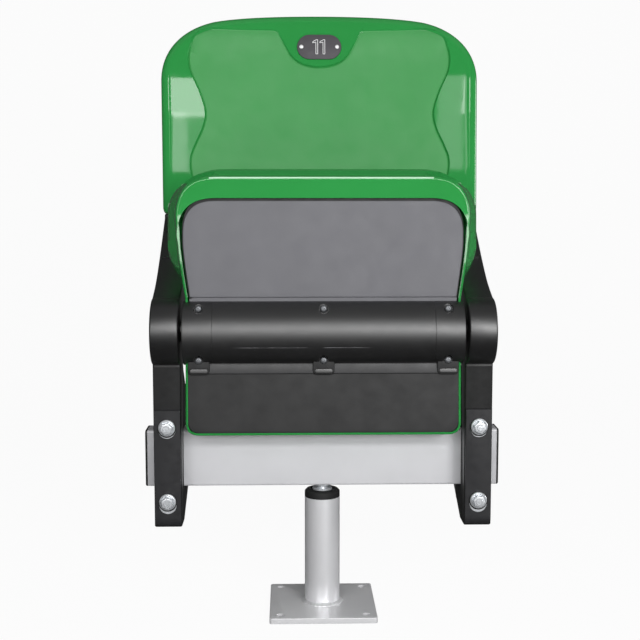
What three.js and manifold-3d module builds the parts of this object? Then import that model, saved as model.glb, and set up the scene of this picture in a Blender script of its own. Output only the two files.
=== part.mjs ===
// A tip-up stadium seat that swivels on a floor pedestal.
// Millimetres. X runs to the right of someone facing the seat, Y runs to the
// back, Z runs up. The origin is the middle of the floor plate's underside.

import * as THREE from 'three';
import { mergeVertices } from 'three/addons/utils/BufferGeometryUtils.js';
import Module from 'manifold-3d';

const wasm = await Module();
wasm.setup();

// Fits shared by all the pieces
const CLEARANCE = 0.3; // gap between a piece and the seat that it sits in
const OVERRUN = 2; // how far a cut runs past the face that it opens
const ROUND_SEGMENTS = 16; // facets round a large turned piece
const RING_SEGMENTS = 12; // facets round a bush, washer or ring
const SMALL_SEGMENTS = 8; // facets round a screw, nut or rivet
const BEND_WEIGHT = 40; // outline length counted for each radian that it bends
const SMOOTHING = 0.04; // how far a needless facet edge may move

// Floor plate and column
const PLATE_SIDE = 150;
const PLATE_THICK = 8;
const PLATE_CORNER = 4;
const ANCHOR_BORE = 10;
const ANCHOR_INSET = 15;
const COLUMN_RADIUS = 25;
const COLUMN_WALL = 3;
const COLUMN_HEIGHT = 154;
const WELD_LEG = 4;

// Swivel bearing
const COLLAR_HEIGHT = 11;
const COLLAR_CHAMFER = 3;
const COLLAR_SPIGOT = 24;
const THRUST_RADIUS = 14;
const THRUST_THICK = 3;
const THRUST_SEAT_DEPTH = 1;
const SPINDLE_RADIUS = 8;
const NECK_RADIUS = 8.6;
const NECK_HEIGHT = 4;
const SPINDLE_FLANGE_RADIUS = 13.5;
const SPINDLE_FLANGE_THICK = 3;
const SPINDLE_STUD = 19;
const SPINDLE_NUT_FLATS = 24;
const SPINDLE_NUT_HEIGHT = 13;
const LOWER_BUSH_HEIGHT = 15;
const LOWER_BUSH_DROP = 55; // column top down to the bush
const CIRCLIP_THICK = 2;
const CIRCLIP_RADIUS = 11.5;
const GROOVE_DEPTH = 1;
const SPINDLE_TAIL = 3;

// Cross beam
const BEAM_LENGTH = 492;
const BEAM_OVERHANG = 13; // beam end past each bracket
const BEAM_DEPTH = 40;
const BEAM_HEIGHT = 80;
const BEAM_WALL = 3;
const BEAM_CORNER = 3.5;
const CAP_THICK = 3;
const CAP_BEVEL = 1.4;
const CAP_PLUG_DEPTH = 12;
const CAP_PLUG_WALL = 2;

// Seat hinge
const AXIS_Y = -48;
const AXIS_RISE = 182.5; // over the beam's middle
const HUB_RADIUS = 46;
const HINGE_SHAFT_RADIUS = 8;
const FOLD_LEAN = THREE.MathUtils.degToRad(5);

// Side brackets
const BRACKET_WIDTH = 38;
const POST_FRONT_Y = -56;
const POST_REAR_Y = 50;
const FOOT_DROP = 49; // beam's underside down to the toe
const FOOT_TOE_Y = -20; // where the underside starts to rise
const FOOT_REAR_DROP = 16;
const SHOULDER_RISE = 35; // beam's top up to the rear top of the clamp block
const SHOULDER_SLOPE = 26; // rise of the block's sloping top
const POST_NECK_Y = -6;
const POST_NECK_RISE = 84; // over the beam's top
const FOOT_CORNER = 3;
const ARM_ROOT_DROP = 9; // below the hinge axis, where the arm leaves the hub
const ARM_REACH = 219; // hinge axis back to the arm's rear face
const ARM_RISE = 151.5; // hinge axis up to the arm's top
const ARM_CORNER_DEPTH = 16;
const ARM_CORNER_WIDTH = 13;
const ARM_TOP_WIDTH = 27;
// Points of the arm are shares of its reach and rise, from the hinge axis
const ARM_UPPER_SHARES = [[0.219, 0.432], [0.461, 0.64], [0.662, 0.842]];
const ARM_LOWER_SHARES = [[0.438, 0.188], [0.694, 0.452], [0.935, 0.743]];
const POCKET_WEB = 6; // wall left behind the cored side of the arm
const POCKET_RIB = 4;
const POCKET_SHARES = [[0.347, 0.287], [0.493, 0.413], [0.667, 0.611], [0.845, 0.789], [0.886, 0.901],
  [0.795, 0.908], [0.667, 0.769], [0.493, 0.584], [0.329, 0.439]];
const POCKET_RIB_SHARES = [[[0.502, 0.314], [0.447, 0.644]], [[0.502, 0.644], [0.676, 0.512]],
  [[0.758, 0.591], [0.685, 0.881]], [[0.758, 0.908], [0.904, 0.762]]];

// Beam clamp
const STRAP_WIDTH = 36;
const STRAP_THICK = 5;
const STRAP_OVER = 0.5; // strap's top over the clamp block's
const STRAP_INSET = 2.5; // strap's foot over the bracket's
const STRAP_CORNER = 2;
const STRAP_LIP = 9; // height of the foot that bends back
const BOLT_SPREAD = 51.5; // from the beam's middle to each bolt
const BOLT_RADIUS = 5;
const BOLT_HEAD_RADIUS = 12;
const BOLT_HEAD_HEIGHT = 5;
const BOLT_POINT = 3; // thread showing past the nut
const NUT_FLANGE_RADIUS = 11;
const NUT_FLANGE_THICK = 3;
const NUT_FLATS = 15;
const NUT_HEIGHT = 10;

// Seat shell, in its own frame: origin on the hinge axis, +Z to the front
// edge of the seat, +Y out of the sitting surface
const SHELL_WALL = 3.5;
const FLANGE_Y = -16;
const RIM_Y = 27;
const SEAT_FRONT_Z = 224;
const SEAT_REAR_Z = -141.5;
const SEAT_FLARE = 26.7; // how much wider the front half is, on each side
const SEAT_WAIST_Z = 62;
const SEAT_HIP_Z = 108;
const SEAT_CORNER_WIDTH = 78;
const SEAT_CORNER_DEPTH = 62;
const SEAT_REAR_CORNER = 18;
const FLANGE_FRONT_INSET = 15; // behind the seat's front edge
const FLANGE_FRONT_FLARE = 10.7;
const FLANGE_HIP_FLARE = 8.7;
const FLANGE_CORNER = 54;
const FLANGE_SIDE = 3; // green edge left showing along the sides
const OPENING_FRONT_INSET = 44;
const OPENING_CORNER = 50;
const OPENING_LIP = 3; // green edge left showing along the rear half
const DISH_DEPTH = 8;
const DISH_CENTRE_Z = 96;
const DISH_SPREAD = 70;
const CROSS_CAMBER = 5;
const SEAT_PANEL_STEP = 1.5;
const SEAT_PANEL_SHARES = [0.12, 0.13]; // from the rim to the middle
const SEAT_POINTS = 48;

// Underside covers
const COVER_THICK = 2.6;
const COVER_PLATEAU = 3;
const COVER_TRAY_MARGIN = 6; // how far the front cover reaches behind the lip
const COVER_GAP = 3; // dark joint at the front edge
const COVER_SIDE_GAP = 5.5; // dark joint along the sides
const COVER_CORNER = 43;
const COVER_REAR_INSET = 6.3; // cover's corner inside the seat's side
const COVER_BAND = 12; // raised band of the rear cover beside the housing

// Hinge housing
const HOUSING_RADIUS = 44;
const HOUSING_WALL = 4;
const HOUSING_PLAY = 4.5; // from the housing's end to the bracket
const HOUSING_OVERHANG = 3.2; // housing's end past the seat shell
const HOUSING_BACK_Y = -9;
const HOUSING_END = 3;
const HOUSING_LOBE = 20;
const HOUSING_SCREW_INSET = 21.5;
const HOUSING_SCREW_UPPER_Z = 33;
const HOUSING_SCREW_LOWER_Z = -36;
const HOUSING_SCREW_SEAT_Y = -19;
const SCREW_RECESS_RADIUS = 5.6;
const SCREW_HEAD_RADIUS = 4.4;
const SCREW_HEAD_HEIGHT = 3.2;
const SCREW_SHANK_RADIUS = 2.4;
const SCREW_LENGTH = 20;
const BOSS_RADIUS = 7.2;
const LUG_WIDTH = 28;
const LUG_DROP = 11;
const LUG_THICK = 4;

// Hinge inside
const BUSH_RADIUS = 12;
const BUSH_FLANGE_RADIUS = 15;
const BUSH_LENGTH = 16;
const SHAFT_GRIP = 21; // length of shaft held in each hub
const SHAFT_BOLT_RADIUS = 4;
const SHAFT_BOLT_LENGTH = 20;
const SHAFT_BOLT_HEAD_RADIUS = 11;
const SHAFT_BOLT_HEAD_HEIGHT = 5;
const HUB_CAP_RADIUS = 19;
const HUB_CAP_THICK = 4;
const HUB_CAP_DOME = 2;
const SPRING_WIRE_RADIUS = 1.8;
const SPRING_TURNS = 7;
const SPRING_PLAY = 1;
const SPRING_PITCH = 4.6;
const SPRING_INSET = 94.5; // from the housing's end
const SPRING_LEG = 20;
const SPRING_COLLAR_RADIUS = 14;
const SPRING_COLLAR_WIDTH = 10;

// Backrest, in its own frame: origin at the middle of its lower edge, +Z up
// the back, +Y away from the sitter
const RECLINE = THREE.MathUtils.degToRad(11);
const BACK_FOOT_REACH = 153; // behind the hinge axis
const BACK_FOOT_RISE = 73.5; // over the hinge axis
const BACK_LENGTH = 392;
const BACK_WALL = 4;
const BACK_LIP = 24;
const BACK_OVERHANG = 4.5; // top corner past the brackets
const BACK_WING_DRAFT = 4.5; // how much narrower the wings' foot is
const BACK_CORNER = 104;
const BACK_CORNER_WIDTH = 77.5;
const BACK_CROWN = 11.5;
const BACK_WING_Z = 99;
const BACK_WING_FOOT_Z = 85;
const BACK_FOOT_GAP = 11; // between the shell's foot and the brackets
const BACK_FOOT_CORNER = 42;
const BACK_WING_FORWARD = 16;
const BACK_LUMBAR = 6;
const BACK_PANEL_STEP = 3;
const BACK_PANEL_BEVEL = 2.5;
const BACK_ROLL = 12;
const BACK_ROLL_DEPTH = 9;
const ROLL_SHARES = [[0, 1], [0.13, 0.36], [0.46, 0.07], [1, 0]]; // of the roll's width and depth
const INNER_WALL_SHARES = [[1, 2.63], [2, 1.38], [3.75, 1]]; // inset and depth, of the wall
const PANEL_RING_SHARES = [0.3, 0.62];
// The panel's side, as shares of the backrest's half width and length
const PANEL_SIDE_SHARES = [[0.802, 0.88], [0.823, 0.829], [0.813, 0.77], [0.753, 0.688], [0.716, 0.609],
  [0.732, 0.545], [0.78, 0.476], [0.807, 0.424], [0.8, 0.367], [0.762, 0.281], [0.724, 0.191], [0.674, 0.102]];
const PANEL_TOP_MARGIN = 26;
const PANEL_FOOT_Z = 22;
const PANEL_BEND = 6;
const PANEL_SHOULDER = 36;
const BACK_POINTS = 52;
const PLATE_NOTCH_MOUTH = 70;
const PLATE_NOTCH_SHOULDER = 50;
const PLATE_NOTCH_FLOOR = 60;
const PLATE_NOTCH_DROP = 56;
const BACK_RIB_THICK = 3;
const BACK_RIB_DEPTH = 11;
const BACK_RIB_X_SHARES = [-0.463, 0, 0.463]; // of the half width
const BACK_RIB_Z_SHARES = [0.179, 0.408, 0.638]; // of the length
const BACK_RIB_TOP_MARGIN = 80;
const BACK_RIB_SIDE_MARGIN = 19;
const TONGUE_WIDTH = 26;
const TONGUE_TOP = 176;
const TONGUE_FRONT = 3;
const TONGUE_DEPTH = 17;
const BACK_SCREW_INSET = 18; // below the tongue's top
const BACK_SCREW_SPREAD = 46;
const BACK_BOSS_RADIUS = 7;

// Seat number plate
const TAG_WIDTH = 67;
const TAG_HEIGHT = 38;
const TAG_THICK = 2;
const TAG_DROP = 51; // backrest's top down to the plate's middle
const TAG_STANDOFF = 0.8; // the face behind the plate is slightly curved
const TAG_RIVET_X = 27;
const TAG_RIVET_BORE = 2;
const RIVET_HEAD_RADIUS = 3.1;
const RIVET_HEAD_HEIGHT = 1.4;
const RIVET_LENGTH = 4;

// Levels and places that follow from the sizes above
const COLUMN_TOP_Z = PLATE_THICK + COLUMN_HEIGHT;
const COLUMN_BORE = COLUMN_RADIUS - COLUMN_WALL;
const LOWER_BUSH_TOP_Z = COLUMN_TOP_Z - LOWER_BUSH_DROP;
const LOWER_BUSH_Z = LOWER_BUSH_TOP_Z - LOWER_BUSH_HEIGHT;
const CIRCLIP_TOP_Z = LOWER_BUSH_Z - CLEARANCE;
const CIRCLIP_Z = CIRCLIP_TOP_Z - CIRCLIP_THICK;
const THRUST_Z = COLUMN_TOP_Z + COLLAR_HEIGHT - THRUST_SEAT_DEPTH;
const NECK_Z = THRUST_Z + THRUST_THICK;
const BEAM_Z = NECK_Z + NECK_HEIGHT + SPINDLE_FLANGE_THICK;
const BEAM_MIDDLE_Z = BEAM_Z + BEAM_HEIGHT / 2;
const BEAM_TOP_Z = BEAM_Z + BEAM_HEIGHT;
const BEAM_REAR_Y = BEAM_DEPTH / 2;
const BRACKET_OUTER_X = BEAM_LENGTH / 2 - BEAM_OVERHANG;
const BRACKET_INNER_X = BRACKET_OUTER_X - BRACKET_WIDTH;
const BRACKET_MIDDLE_X = BRACKET_INNER_X + BRACKET_WIDTH / 2;
const AXIS_Z = BEAM_MIDDLE_Z + AXIS_RISE;
const FOOT_Z = BEAM_Z - FOOT_DROP;
const FOOT_REAR_Z = BEAM_Z - FOOT_REAR_DROP;
const FOOT_SLOPE = (FOOT_REAR_Z - FOOT_Z) / (POST_REAR_Y - FOOT_TOE_Y);
const SHOULDER_Z = BEAM_TOP_Z + SHOULDER_RISE;
const POST_NECK_Z = BEAM_TOP_Z + POST_NECK_RISE;
const ARM_TOP_Z = AXIS_Z + ARM_RISE;
const ARM_REAR_Y = AXIS_Y + ARM_REACH;
const STRAP_FRONT_Y = POST_FRONT_Y - STRAP_THICK;
const STRAP_TOP_Z = SHOULDER_Z + STRAP_OVER;
const STRAP_BOTTOM_Z = FOOT_Z + STRAP_INSET;
const BOLT_LEVELS = [BEAM_MIDDLE_Z - BOLT_SPREAD, BEAM_MIDDLE_Z + BOLT_SPREAD];
const HOUSING_HALF = BRACKET_INNER_X - HOUSING_PLAY;
const HOUSING_SCREW_X = HOUSING_HALF - HOUSING_SCREW_INSET;
const HOUSING_SCREWS = [-HOUSING_SCREW_X, 0, HOUSING_SCREW_X].flatMap((x) =>
  [[x, HOUSING_SCREW_UPPER_Z], [x, HOUSING_SCREW_LOWER_Z]]);
const SHAFT_HALF = BRACKET_INNER_X + SHAFT_GRIP;
const SPRING_INNER_X = HOUSING_HALF - SPRING_INSET;
const SEAT_HALF_REAR = HOUSING_HALF - HOUSING_OVERHANG;
const SEAT_HALF_FRONT = SEAT_HALF_REAR + SEAT_FLARE;
const SEAT_MIDDLE_Z = (SEAT_FRONT_Z + SEAT_REAR_Z) / 2;
const FLANGE_FRONT_Z = SEAT_FRONT_Z - FLANGE_FRONT_INSET;
const FLANGE_HALF_FRONT = SEAT_HALF_REAR + FLANGE_FRONT_FLARE;
const FLANGE_HALF_HIP = SEAT_HALF_REAR + FLANGE_HIP_FLARE;
const OPENING_FRONT_Z = SEAT_FRONT_Z - OPENING_FRONT_INSET;
const OPENING_HALF_FRONT = FLANGE_HALF_FRONT - FLANGE_SIDE;
const OPENING_HALF_HIP = FLANGE_HALF_HIP - FLANGE_SIDE;
const COVER_FACE_Y = FLANGE_Y + SHELL_WALL + CLEARANCE;
const BACK_FOOT_Y = AXIS_Y + BACK_FOOT_REACH;
const BACK_FOOT_Z = AXIS_Z + BACK_FOOT_RISE;
const BACK_HALF_TOP = BRACKET_OUTER_X + BACK_OVERHANG;
const BACK_HALF_WING = BACK_HALF_TOP - BACK_WING_DRAFT;
const BACK_HALF_FOOT = BRACKET_INNER_X - BACK_FOOT_GAP;
const BACK_MIDDLE_Z = BACK_LENGTH / 2;
const PANEL_TOP_Z = BACK_LENGTH - PANEL_TOP_MARGIN;
const TONGUE_MIDDLE_X = BRACKET_INNER_X + TONGUE_WIDTH / 2;
const BACK_SCREW_TOP = TONGUE_TOP - BACK_SCREW_INSET;
const BACK_SCREW_HEIGHTS = [BACK_SCREW_TOP - BACK_SCREW_SPREAD, BACK_SCREW_TOP];
const BACK_PILOT_Y = TONGUE_FRONT + TONGUE_DEPTH - SCREW_LENGTH - 2 * OVERRUN;
const TAG_RISE = BACK_LENGTH - TAG_DROP;
const SIDES = [['left', -1], ['right', 1]];

// Materials
const finish = (color, roughness, metalness) =>
  new THREE.MeshStandardMaterial({ color, roughness, metalness });
const greenPlastic = finish(0x2b8a3c, 0.3, 0);
const greyCover = finish(0x77777b, 0.5, 0);
const darkCover = finish(0x39393b, 0.5, 0);
const blackNylon = finish(0x1f1f20, 0.4, 0);
const blackRubber = finish(0x17171a, 0.6, 0);
const darkStrap = finish(0x444446, 0.45, 0.4);
const silverPaint = finish(0xc6c6c8, 0.4, 0.5);
const plateSteel = finish(0x9a9a9e, 0.45, 0.6);
const zincSteel = finish(0xd8dde2, 0.3, 0.9);
const springSteel = finish(0x4a4c50, 0.4, 0.9);
const tagMetal = finish(0x5d5a5f, 0.4, 0.6);

// Solids

function toSolid(geometry) {
  const bare = geometry.clone();
  bare.deleteAttribute('normal');
  bare.deleteAttribute('uv');
  const welded = mergeVertices(bare, 1e-4);
  const vertProperties = new Float32Array(welded.attributes.position.array);
  const triVerts = new Uint32Array(welded.index.array);
  return new wasm.Manifold(new wasm.Mesh({ numProp: 3, vertProperties, triVerts }));
}

function toGeometry(solid) {
  const { vertProperties, triVerts } = solid.simplify(SMOOTHING).getMesh();
  const geometry = new THREE.BufferGeometry();
  geometry.setAttribute('position', new THREE.BufferAttribute(new Float32Array(vertProperties), 3));
  geometry.setIndex(new THREE.BufferAttribute(new Uint32Array(triVerts), 1));
  geometry.computeVertexNormals();
  return geometry;
}

const joined = (geometries) =>
  toGeometry(geometries.map(toSolid).reduce((sum, solid) => sum.add(solid)));

const cutBy = (geometry, tools) =>
  toGeometry(tools.map(toSolid).reduce((rest, tool) => rest.subtract(tool), toSolid(geometry)));

const kept = (geometry, region) => toGeometry(toSolid(geometry).intersect(toSolid(region)));

// The piece without the slivers that a cut can leave beside it
function mainBody(geometry) {
  const bodies = toSolid(geometry).decompose();
  return toGeometry(bodies.sort((a, b) => b.volume() - a.volume())[0]);
}

function part(name, geometry, material) {
  const mesh = new THREE.Mesh(geometry, material);
  mesh.name = name;
  return mesh;
}

// Extrusions. Each takes an outline and the span that it covers.

const turned = new THREE.Matrix4();
const alongX = new THREE.Vector3(1, 0, 0);
const alongY = new THREE.Vector3(0, 1, 0);
const alongZ = new THREE.Vector3(0, 0, 1);
const againstY = new THREE.Vector3(0, -1, 0);

function extruded(shape, length, options = {}) {
  const plain = { depth: length, bevelEnabled: false, curveSegments: 5 };
  return new THREE.ExtrudeGeometry(shape, { ...plain, ...options });
}

// An outline drawn in (Y, Z), swept from one X to another
function slabX(shape, from, to, options) {
  const geometry = extruded(shape, to - from, options);
  geometry.applyMatrix4(turned.makeBasis(alongY, alongZ, alongX));
  return geometry.translate(from, 0, 0);
}

// An outline drawn in (X, Z), swept from one Y to another
function slabY(shape, from, to, options) {
  const geometry = extruded(shape, to - from, options);
  geometry.applyMatrix4(turned.makeBasis(alongX, alongZ, againstY));
  return geometry.translate(0, to, 0);
}

// An outline drawn in (X, Y), swept from one Z to another
const slabZ = (shape, from, to, options) => extruded(shape, to - from, options).translate(0, 0, from);

function box(x0, x1, y0, y1, z0, z1) {
  const geometry = new THREE.BoxGeometry(x1 - x0, y1 - y0, z1 - z0);
  return geometry.translate((x0 + x1) / 2, (y0 + y1) / 2, (z0 + z1) / 2);
}

// A closed profile of [radius, height] pairs turned about Z
function turnedZ(profile, segments = ROUND_SEGMENTS) {
  const closed = [...profile, profile[0]].map(([radius, height]) => new THREE.Vector2(radius, height));
  const geometry = new THREE.LatheGeometry(closed, segments);
  return geometry.rotateX(Math.PI / 2);
}

const turnedX = (profile, segments) => turnedZ(profile, segments).rotateY(Math.PI / 2);
const turnedY = (profile, segments) => turnedZ(profile, segments).rotateX(-Math.PI / 2);

function rod(radius, length, segments = SMALL_SEGMENTS) {
  return turnedZ([[0, 0], [radius, 0], [radius, length], [0, length]], segments);
}

const rodX = (radius, from, to, segments) =>
  rod(radius, to - from, segments).rotateY(Math.PI / 2).translate(from, 0, 0);
const rodY = (radius, from, to, segments) =>
  rod(radius, to - from, segments).rotateX(-Math.PI / 2).translate(0, from, 0);

function roundedRectangle(width, height, radius) {
  const shape = new THREE.Shape();
  const x = width / 2;
  const y = height / 2;
  shape.absarc(x - radius, y - radius, radius, 0, Math.PI / 2);
  shape.absarc(radius - x, y - radius, radius, Math.PI / 2, Math.PI);
  shape.absarc(radius - x, radius - y, radius, Math.PI, Math.PI * 1.5);
  shape.absarc(x - radius, radius - y, radius, Math.PI * 1.5, Math.PI * 2);
  return shape;
}

function circleHole(x, y, radius) {
  const hole = new THREE.Path();
  hole.absarc(x, y, radius, 0, Math.PI * 2, true);
  return hole;
}

function hexagon(flats) {
  const shape = new THREE.Shape();
  const corner = flats / Math.sqrt(3);
  for (let side = 0; side < 6; side += 1) {
    const angle = (side * Math.PI) / 3;
    const point = [corner * Math.cos(angle), corner * Math.sin(angle)];
    if (side === 0) shape.moveTo(...point);
    else shape.lineTo(...point);
  }
  return shape;
}

const points = (pairs) => pairs.map(([a, b]) => new THREE.Vector2(a, b));

function polygon(pairs) {
  return new THREE.Shape(points(pairs));
}

// Pedestal: floor plate, column, swivel collar, lower bush, thrust washer

function basePlate() {
  const outline = roundedRectangle(PLATE_SIDE, PLATE_SIDE, PLATE_CORNER);
  const anchor = PLATE_SIDE / 2 - ANCHOR_INSET;
  for (const x of [-anchor, anchor]) {
    for (const y of [-anchor, anchor]) outline.holes.push(circleHole(x, y, ANCHOR_BORE / 2));
  }
  return slabZ(outline, 0, PLATE_THICK, { curveSegments: 4 });
}

function column() {
  return turnedZ([
    [COLUMN_BORE, PLATE_THICK],
    [COLUMN_RADIUS + WELD_LEG, PLATE_THICK],
    [COLUMN_RADIUS + WELD_LEG * 0.45, PLATE_THICK + WELD_LEG * 0.45],
    [COLUMN_RADIUS, PLATE_THICK + WELD_LEG],
    [COLUMN_RADIUS, COLUMN_TOP_Z],
    [COLUMN_BORE, COLUMN_TOP_Z],
  ]);
}

function swivelCollar() {
  const top = COLUMN_TOP_Z + COLLAR_HEIGHT;
  const bore = SPINDLE_RADIUS + CLEARANCE;
  return turnedZ([
    [bore, COLUMN_TOP_Z - COLLAR_SPIGOT],
    [COLUMN_BORE - CLEARANCE, COLUMN_TOP_Z - COLLAR_SPIGOT],
    [COLUMN_BORE - CLEARANCE, COLUMN_TOP_Z],
    [COLUMN_RADIUS, COLUMN_TOP_Z],
    [COLUMN_RADIUS, top - COLLAR_CHAMFER],
    [COLUMN_RADIUS - COLLAR_CHAMFER, top],
    [THRUST_RADIUS + CLEARANCE, top],
    [THRUST_RADIUS + CLEARANCE, THRUST_Z],
    [bore, THRUST_Z],
  ]);
}

function thrustWasher() {
  return turnedZ([
    [SPINDLE_RADIUS + CLEARANCE, THRUST_Z],
    [THRUST_RADIUS, THRUST_Z],
    [THRUST_RADIUS, NECK_Z],
    [SPINDLE_RADIUS + CLEARANCE, NECK_Z],
  ], RING_SEGMENTS);
}

function lowerBush() {
  return turnedZ([
    [SPINDLE_RADIUS + CLEARANCE, LOWER_BUSH_Z],
    [COLUMN_BORE - CLEARANCE, LOWER_BUSH_Z],
    [COLUMN_BORE - CLEARANCE, LOWER_BUSH_TOP_Z],
    [SPINDLE_RADIUS + CLEARANCE, LOWER_BUSH_TOP_Z],
  ]);
}

// Swivel head: spindle, circlip, nut, beam and its end caps

function spindle() {
  const groove = SPINDLE_RADIUS - GROOVE_DEPTH;
  const flangeZ = BEAM_Z - SPINDLE_FLANGE_THICK;
  return turnedZ([
    [0, CIRCLIP_Z - SPINDLE_TAIL],
    [SPINDLE_RADIUS, CIRCLIP_Z - SPINDLE_TAIL],
    [SPINDLE_RADIUS, CIRCLIP_Z - CLEARANCE],
    [groove, CIRCLIP_Z - CLEARANCE],
    [groove, CIRCLIP_TOP_Z + CLEARANCE],
    [SPINDLE_RADIUS, CIRCLIP_TOP_Z + CLEARANCE],
    [SPINDLE_RADIUS, NECK_Z],
    [NECK_RADIUS, NECK_Z],
    [NECK_RADIUS, flangeZ],
    [SPINDLE_FLANGE_RADIUS, flangeZ],
    [SPINDLE_FLANGE_RADIUS, BEAM_Z],
    [SPINDLE_RADIUS, BEAM_Z],
    [SPINDLE_RADIUS, BEAM_Z + SPINDLE_STUD],
    [0, BEAM_Z + SPINDLE_STUD],
  ]);
}

function spindleCirclip() {
  const bore = SPINDLE_RADIUS - GROOVE_DEPTH + CLEARANCE;
  return turnedZ([
    [bore, CIRCLIP_Z],
    [CIRCLIP_RADIUS, CIRCLIP_Z],
    [CIRCLIP_RADIUS, CIRCLIP_TOP_Z],
    [bore, CIRCLIP_TOP_Z],
  ], RING_SEGMENTS);
}

function spindleNut() {
  const outline = hexagon(SPINDLE_NUT_FLATS);
  outline.holes.push(circleHole(0, 0, SPINDLE_RADIUS + CLEARANCE));
  const floor = BEAM_Z + BEAM_WALL;
  return slabZ(outline, floor, floor + SPINDLE_NUT_HEIGHT, { curveSegments: 6 });
}

function beam() {
  const outline = roundedRectangle(BEAM_DEPTH, BEAM_HEIGHT, BEAM_CORNER);
  const hollow = roundedRectangle(BEAM_DEPTH - 2 * BEAM_WALL, BEAM_HEIGHT - 2 * BEAM_WALL, BEAM_CORNER / 2);
  outline.holes.push(hollow);
  const tube = slabX(outline, -BEAM_LENGTH / 2, BEAM_LENGTH / 2, { curveSegments: 3 });
  tube.translate(0, 0, BEAM_MIDDLE_Z);
  const studHole = rod(SPINDLE_RADIUS + CLEARANCE, BEAM_WALL + 2 * OVERRUN, ROUND_SEGMENTS);
  return cutBy(tube, [studHole.translate(0, 0, BEAM_Z - OVERRUN)]);
}

// The cap is made for the right end and mirrored by a half turn for the left
function beamEndCap(side) {
  const width = BEAM_DEPTH - 2 * CAP_BEVEL;
  const height = BEAM_HEIGHT - 2 * CAP_BEVEL;
  const face = roundedRectangle(width, height, BEAM_CORNER - CAP_BEVEL);
  const cover = slabX(face, 0, CAP_THICK - CAP_BEVEL, {
    bevelEnabled: true,
    bevelThickness: CAP_BEVEL,
    bevelSize: CAP_BEVEL,
    bevelSegments: 2,
    curveSegments: 2,
  });
  const skin = kept(cover, box(0, CAP_THICK, -BEAM_DEPTH, BEAM_DEPTH, -BEAM_HEIGHT, BEAM_HEIGHT));
  const bore = BEAM_WALL + CLEARANCE;
  const plugOutline = roundedRectangle(BEAM_DEPTH - 2 * bore, BEAM_HEIGHT - 2 * bore, BEAM_CORNER / 2);
  const core = bore + CAP_PLUG_WALL;
  plugOutline.holes.push(roundedRectangle(BEAM_DEPTH - 2 * core, BEAM_HEIGHT - 2 * core, BEAM_CORNER / 2));
  const plug = slabX(plugOutline, -CAP_PLUG_DEPTH, CAP_THICK / 2, { curveSegments: 2 });
  const cap = joined([skin, plug]);
  if (side < 0) cap.rotateZ(Math.PI);
  return cap.translate((side * BEAM_LENGTH) / 2, 0, BEAM_MIDDLE_Z);
}

// Side brackets, drawn in (Y, Z)

// A point of the backrest's own frame, in the seat's frame
function onBack(rise, depth) {
  return [
    BACK_FOOT_Y + rise * Math.sin(RECLINE) + depth * Math.cos(RECLINE),
    BACK_FOOT_Z + rise * Math.cos(RECLINE) - depth * Math.sin(RECLINE),
  ];
}

const footLevel = (y) => FOOT_Z + (y - FOOT_TOE_Y) * FOOT_SLOPE;

// A point of the arm, from its shares of the arm's reach and rise
const onArm = ([back, up]) => [AXIS_Y + back * ARM_REACH, AXIS_Z + up * ARM_RISE];

function bracketOutline() {
  const notch = BEAM_REAR_Y + CLEARANCE;
  const notchLow = BEAM_Z - CLEARANCE;
  const notchHigh = BEAM_TOP_Z + CLEARANCE;
  const frontDrop = Math.sqrt(HUB_RADIUS ** 2 - (POST_FRONT_Y - AXIS_Y) ** 2);
  const rearReach = Math.sqrt(HUB_RADIUS ** 2 - ARM_ROOT_DROP ** 2);
  const shape = new THREE.Shape();
  shape.moveTo(POST_FRONT_Y, FOOT_Z + FOOT_CORNER);
  shape.quadraticCurveTo(POST_FRONT_Y, FOOT_Z, POST_FRONT_Y + FOOT_CORNER, FOOT_Z);
  shape.lineTo(FOOT_TOE_Y, FOOT_Z);
  shape.lineTo(BEAM_REAR_Y, footLevel(BEAM_REAR_Y));
  shape.lineTo(BEAM_REAR_Y, notchLow);
  shape.lineTo(-notch, notchLow);
  shape.lineTo(-notch, notchHigh);
  shape.lineTo(BEAM_REAR_Y, notchHigh);
  shape.lineTo(BEAM_REAR_Y, SHOULDER_Z + SHOULDER_SLOPE);
  shape.lineTo(POST_NECK_Y, POST_NECK_Z);
  shape.quadraticCurveTo(
    POST_NECK_Y - HUB_RADIUS / 3, POST_NECK_Z + HUB_RADIUS / 3,
    AXIS_Y + rearReach, AXIS_Z - ARM_ROOT_DROP,
  );
  shape.splineThru(points(ARM_LOWER_SHARES.map(onArm)));
  shape.lineTo(ARM_REAR_Y, ARM_TOP_Z - ARM_CORNER_DEPTH);
  shape.quadraticCurveTo(ARM_REAR_Y, ARM_TOP_Z, ARM_REAR_Y - ARM_CORNER_WIDTH, ARM_TOP_Z);
  shape.lineTo(ARM_REAR_Y - ARM_CORNER_WIDTH - ARM_TOP_WIDTH, ARM_TOP_Z);
  const upperEdge = [...ARM_UPPER_SHARES].reverse().map(onArm);
  shape.splineThru(points([...upperEdge, [AXIS_Y, AXIS_Z + HUB_RADIUS]]));
  shape.absarc(AXIS_Y, AXIS_Z, HUB_RADIUS, Math.PI / 2,
    Math.PI + Math.atan2(frontDrop, AXIS_Y - POST_FRONT_Y), false);
  shape.lineTo(POST_FRONT_Y, FOOT_Z + FOOT_CORNER);
  return shape;
}

function tongueOutline() {
  const root = (ARM_TOP_Z - BACK_FOOT_Z) / Math.cos(RECLINE) - TONGUE_WIDTH / 2;
  return polygon([
    onBack(root, TONGUE_FRONT),
    onBack(root, TONGUE_FRONT + TONGUE_DEPTH),
    onBack(TONGUE_TOP, TONGUE_FRONT + TONGUE_DEPTH),
    onBack(TONGUE_TOP, TONGUE_FRONT),
  ]);
}

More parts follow.
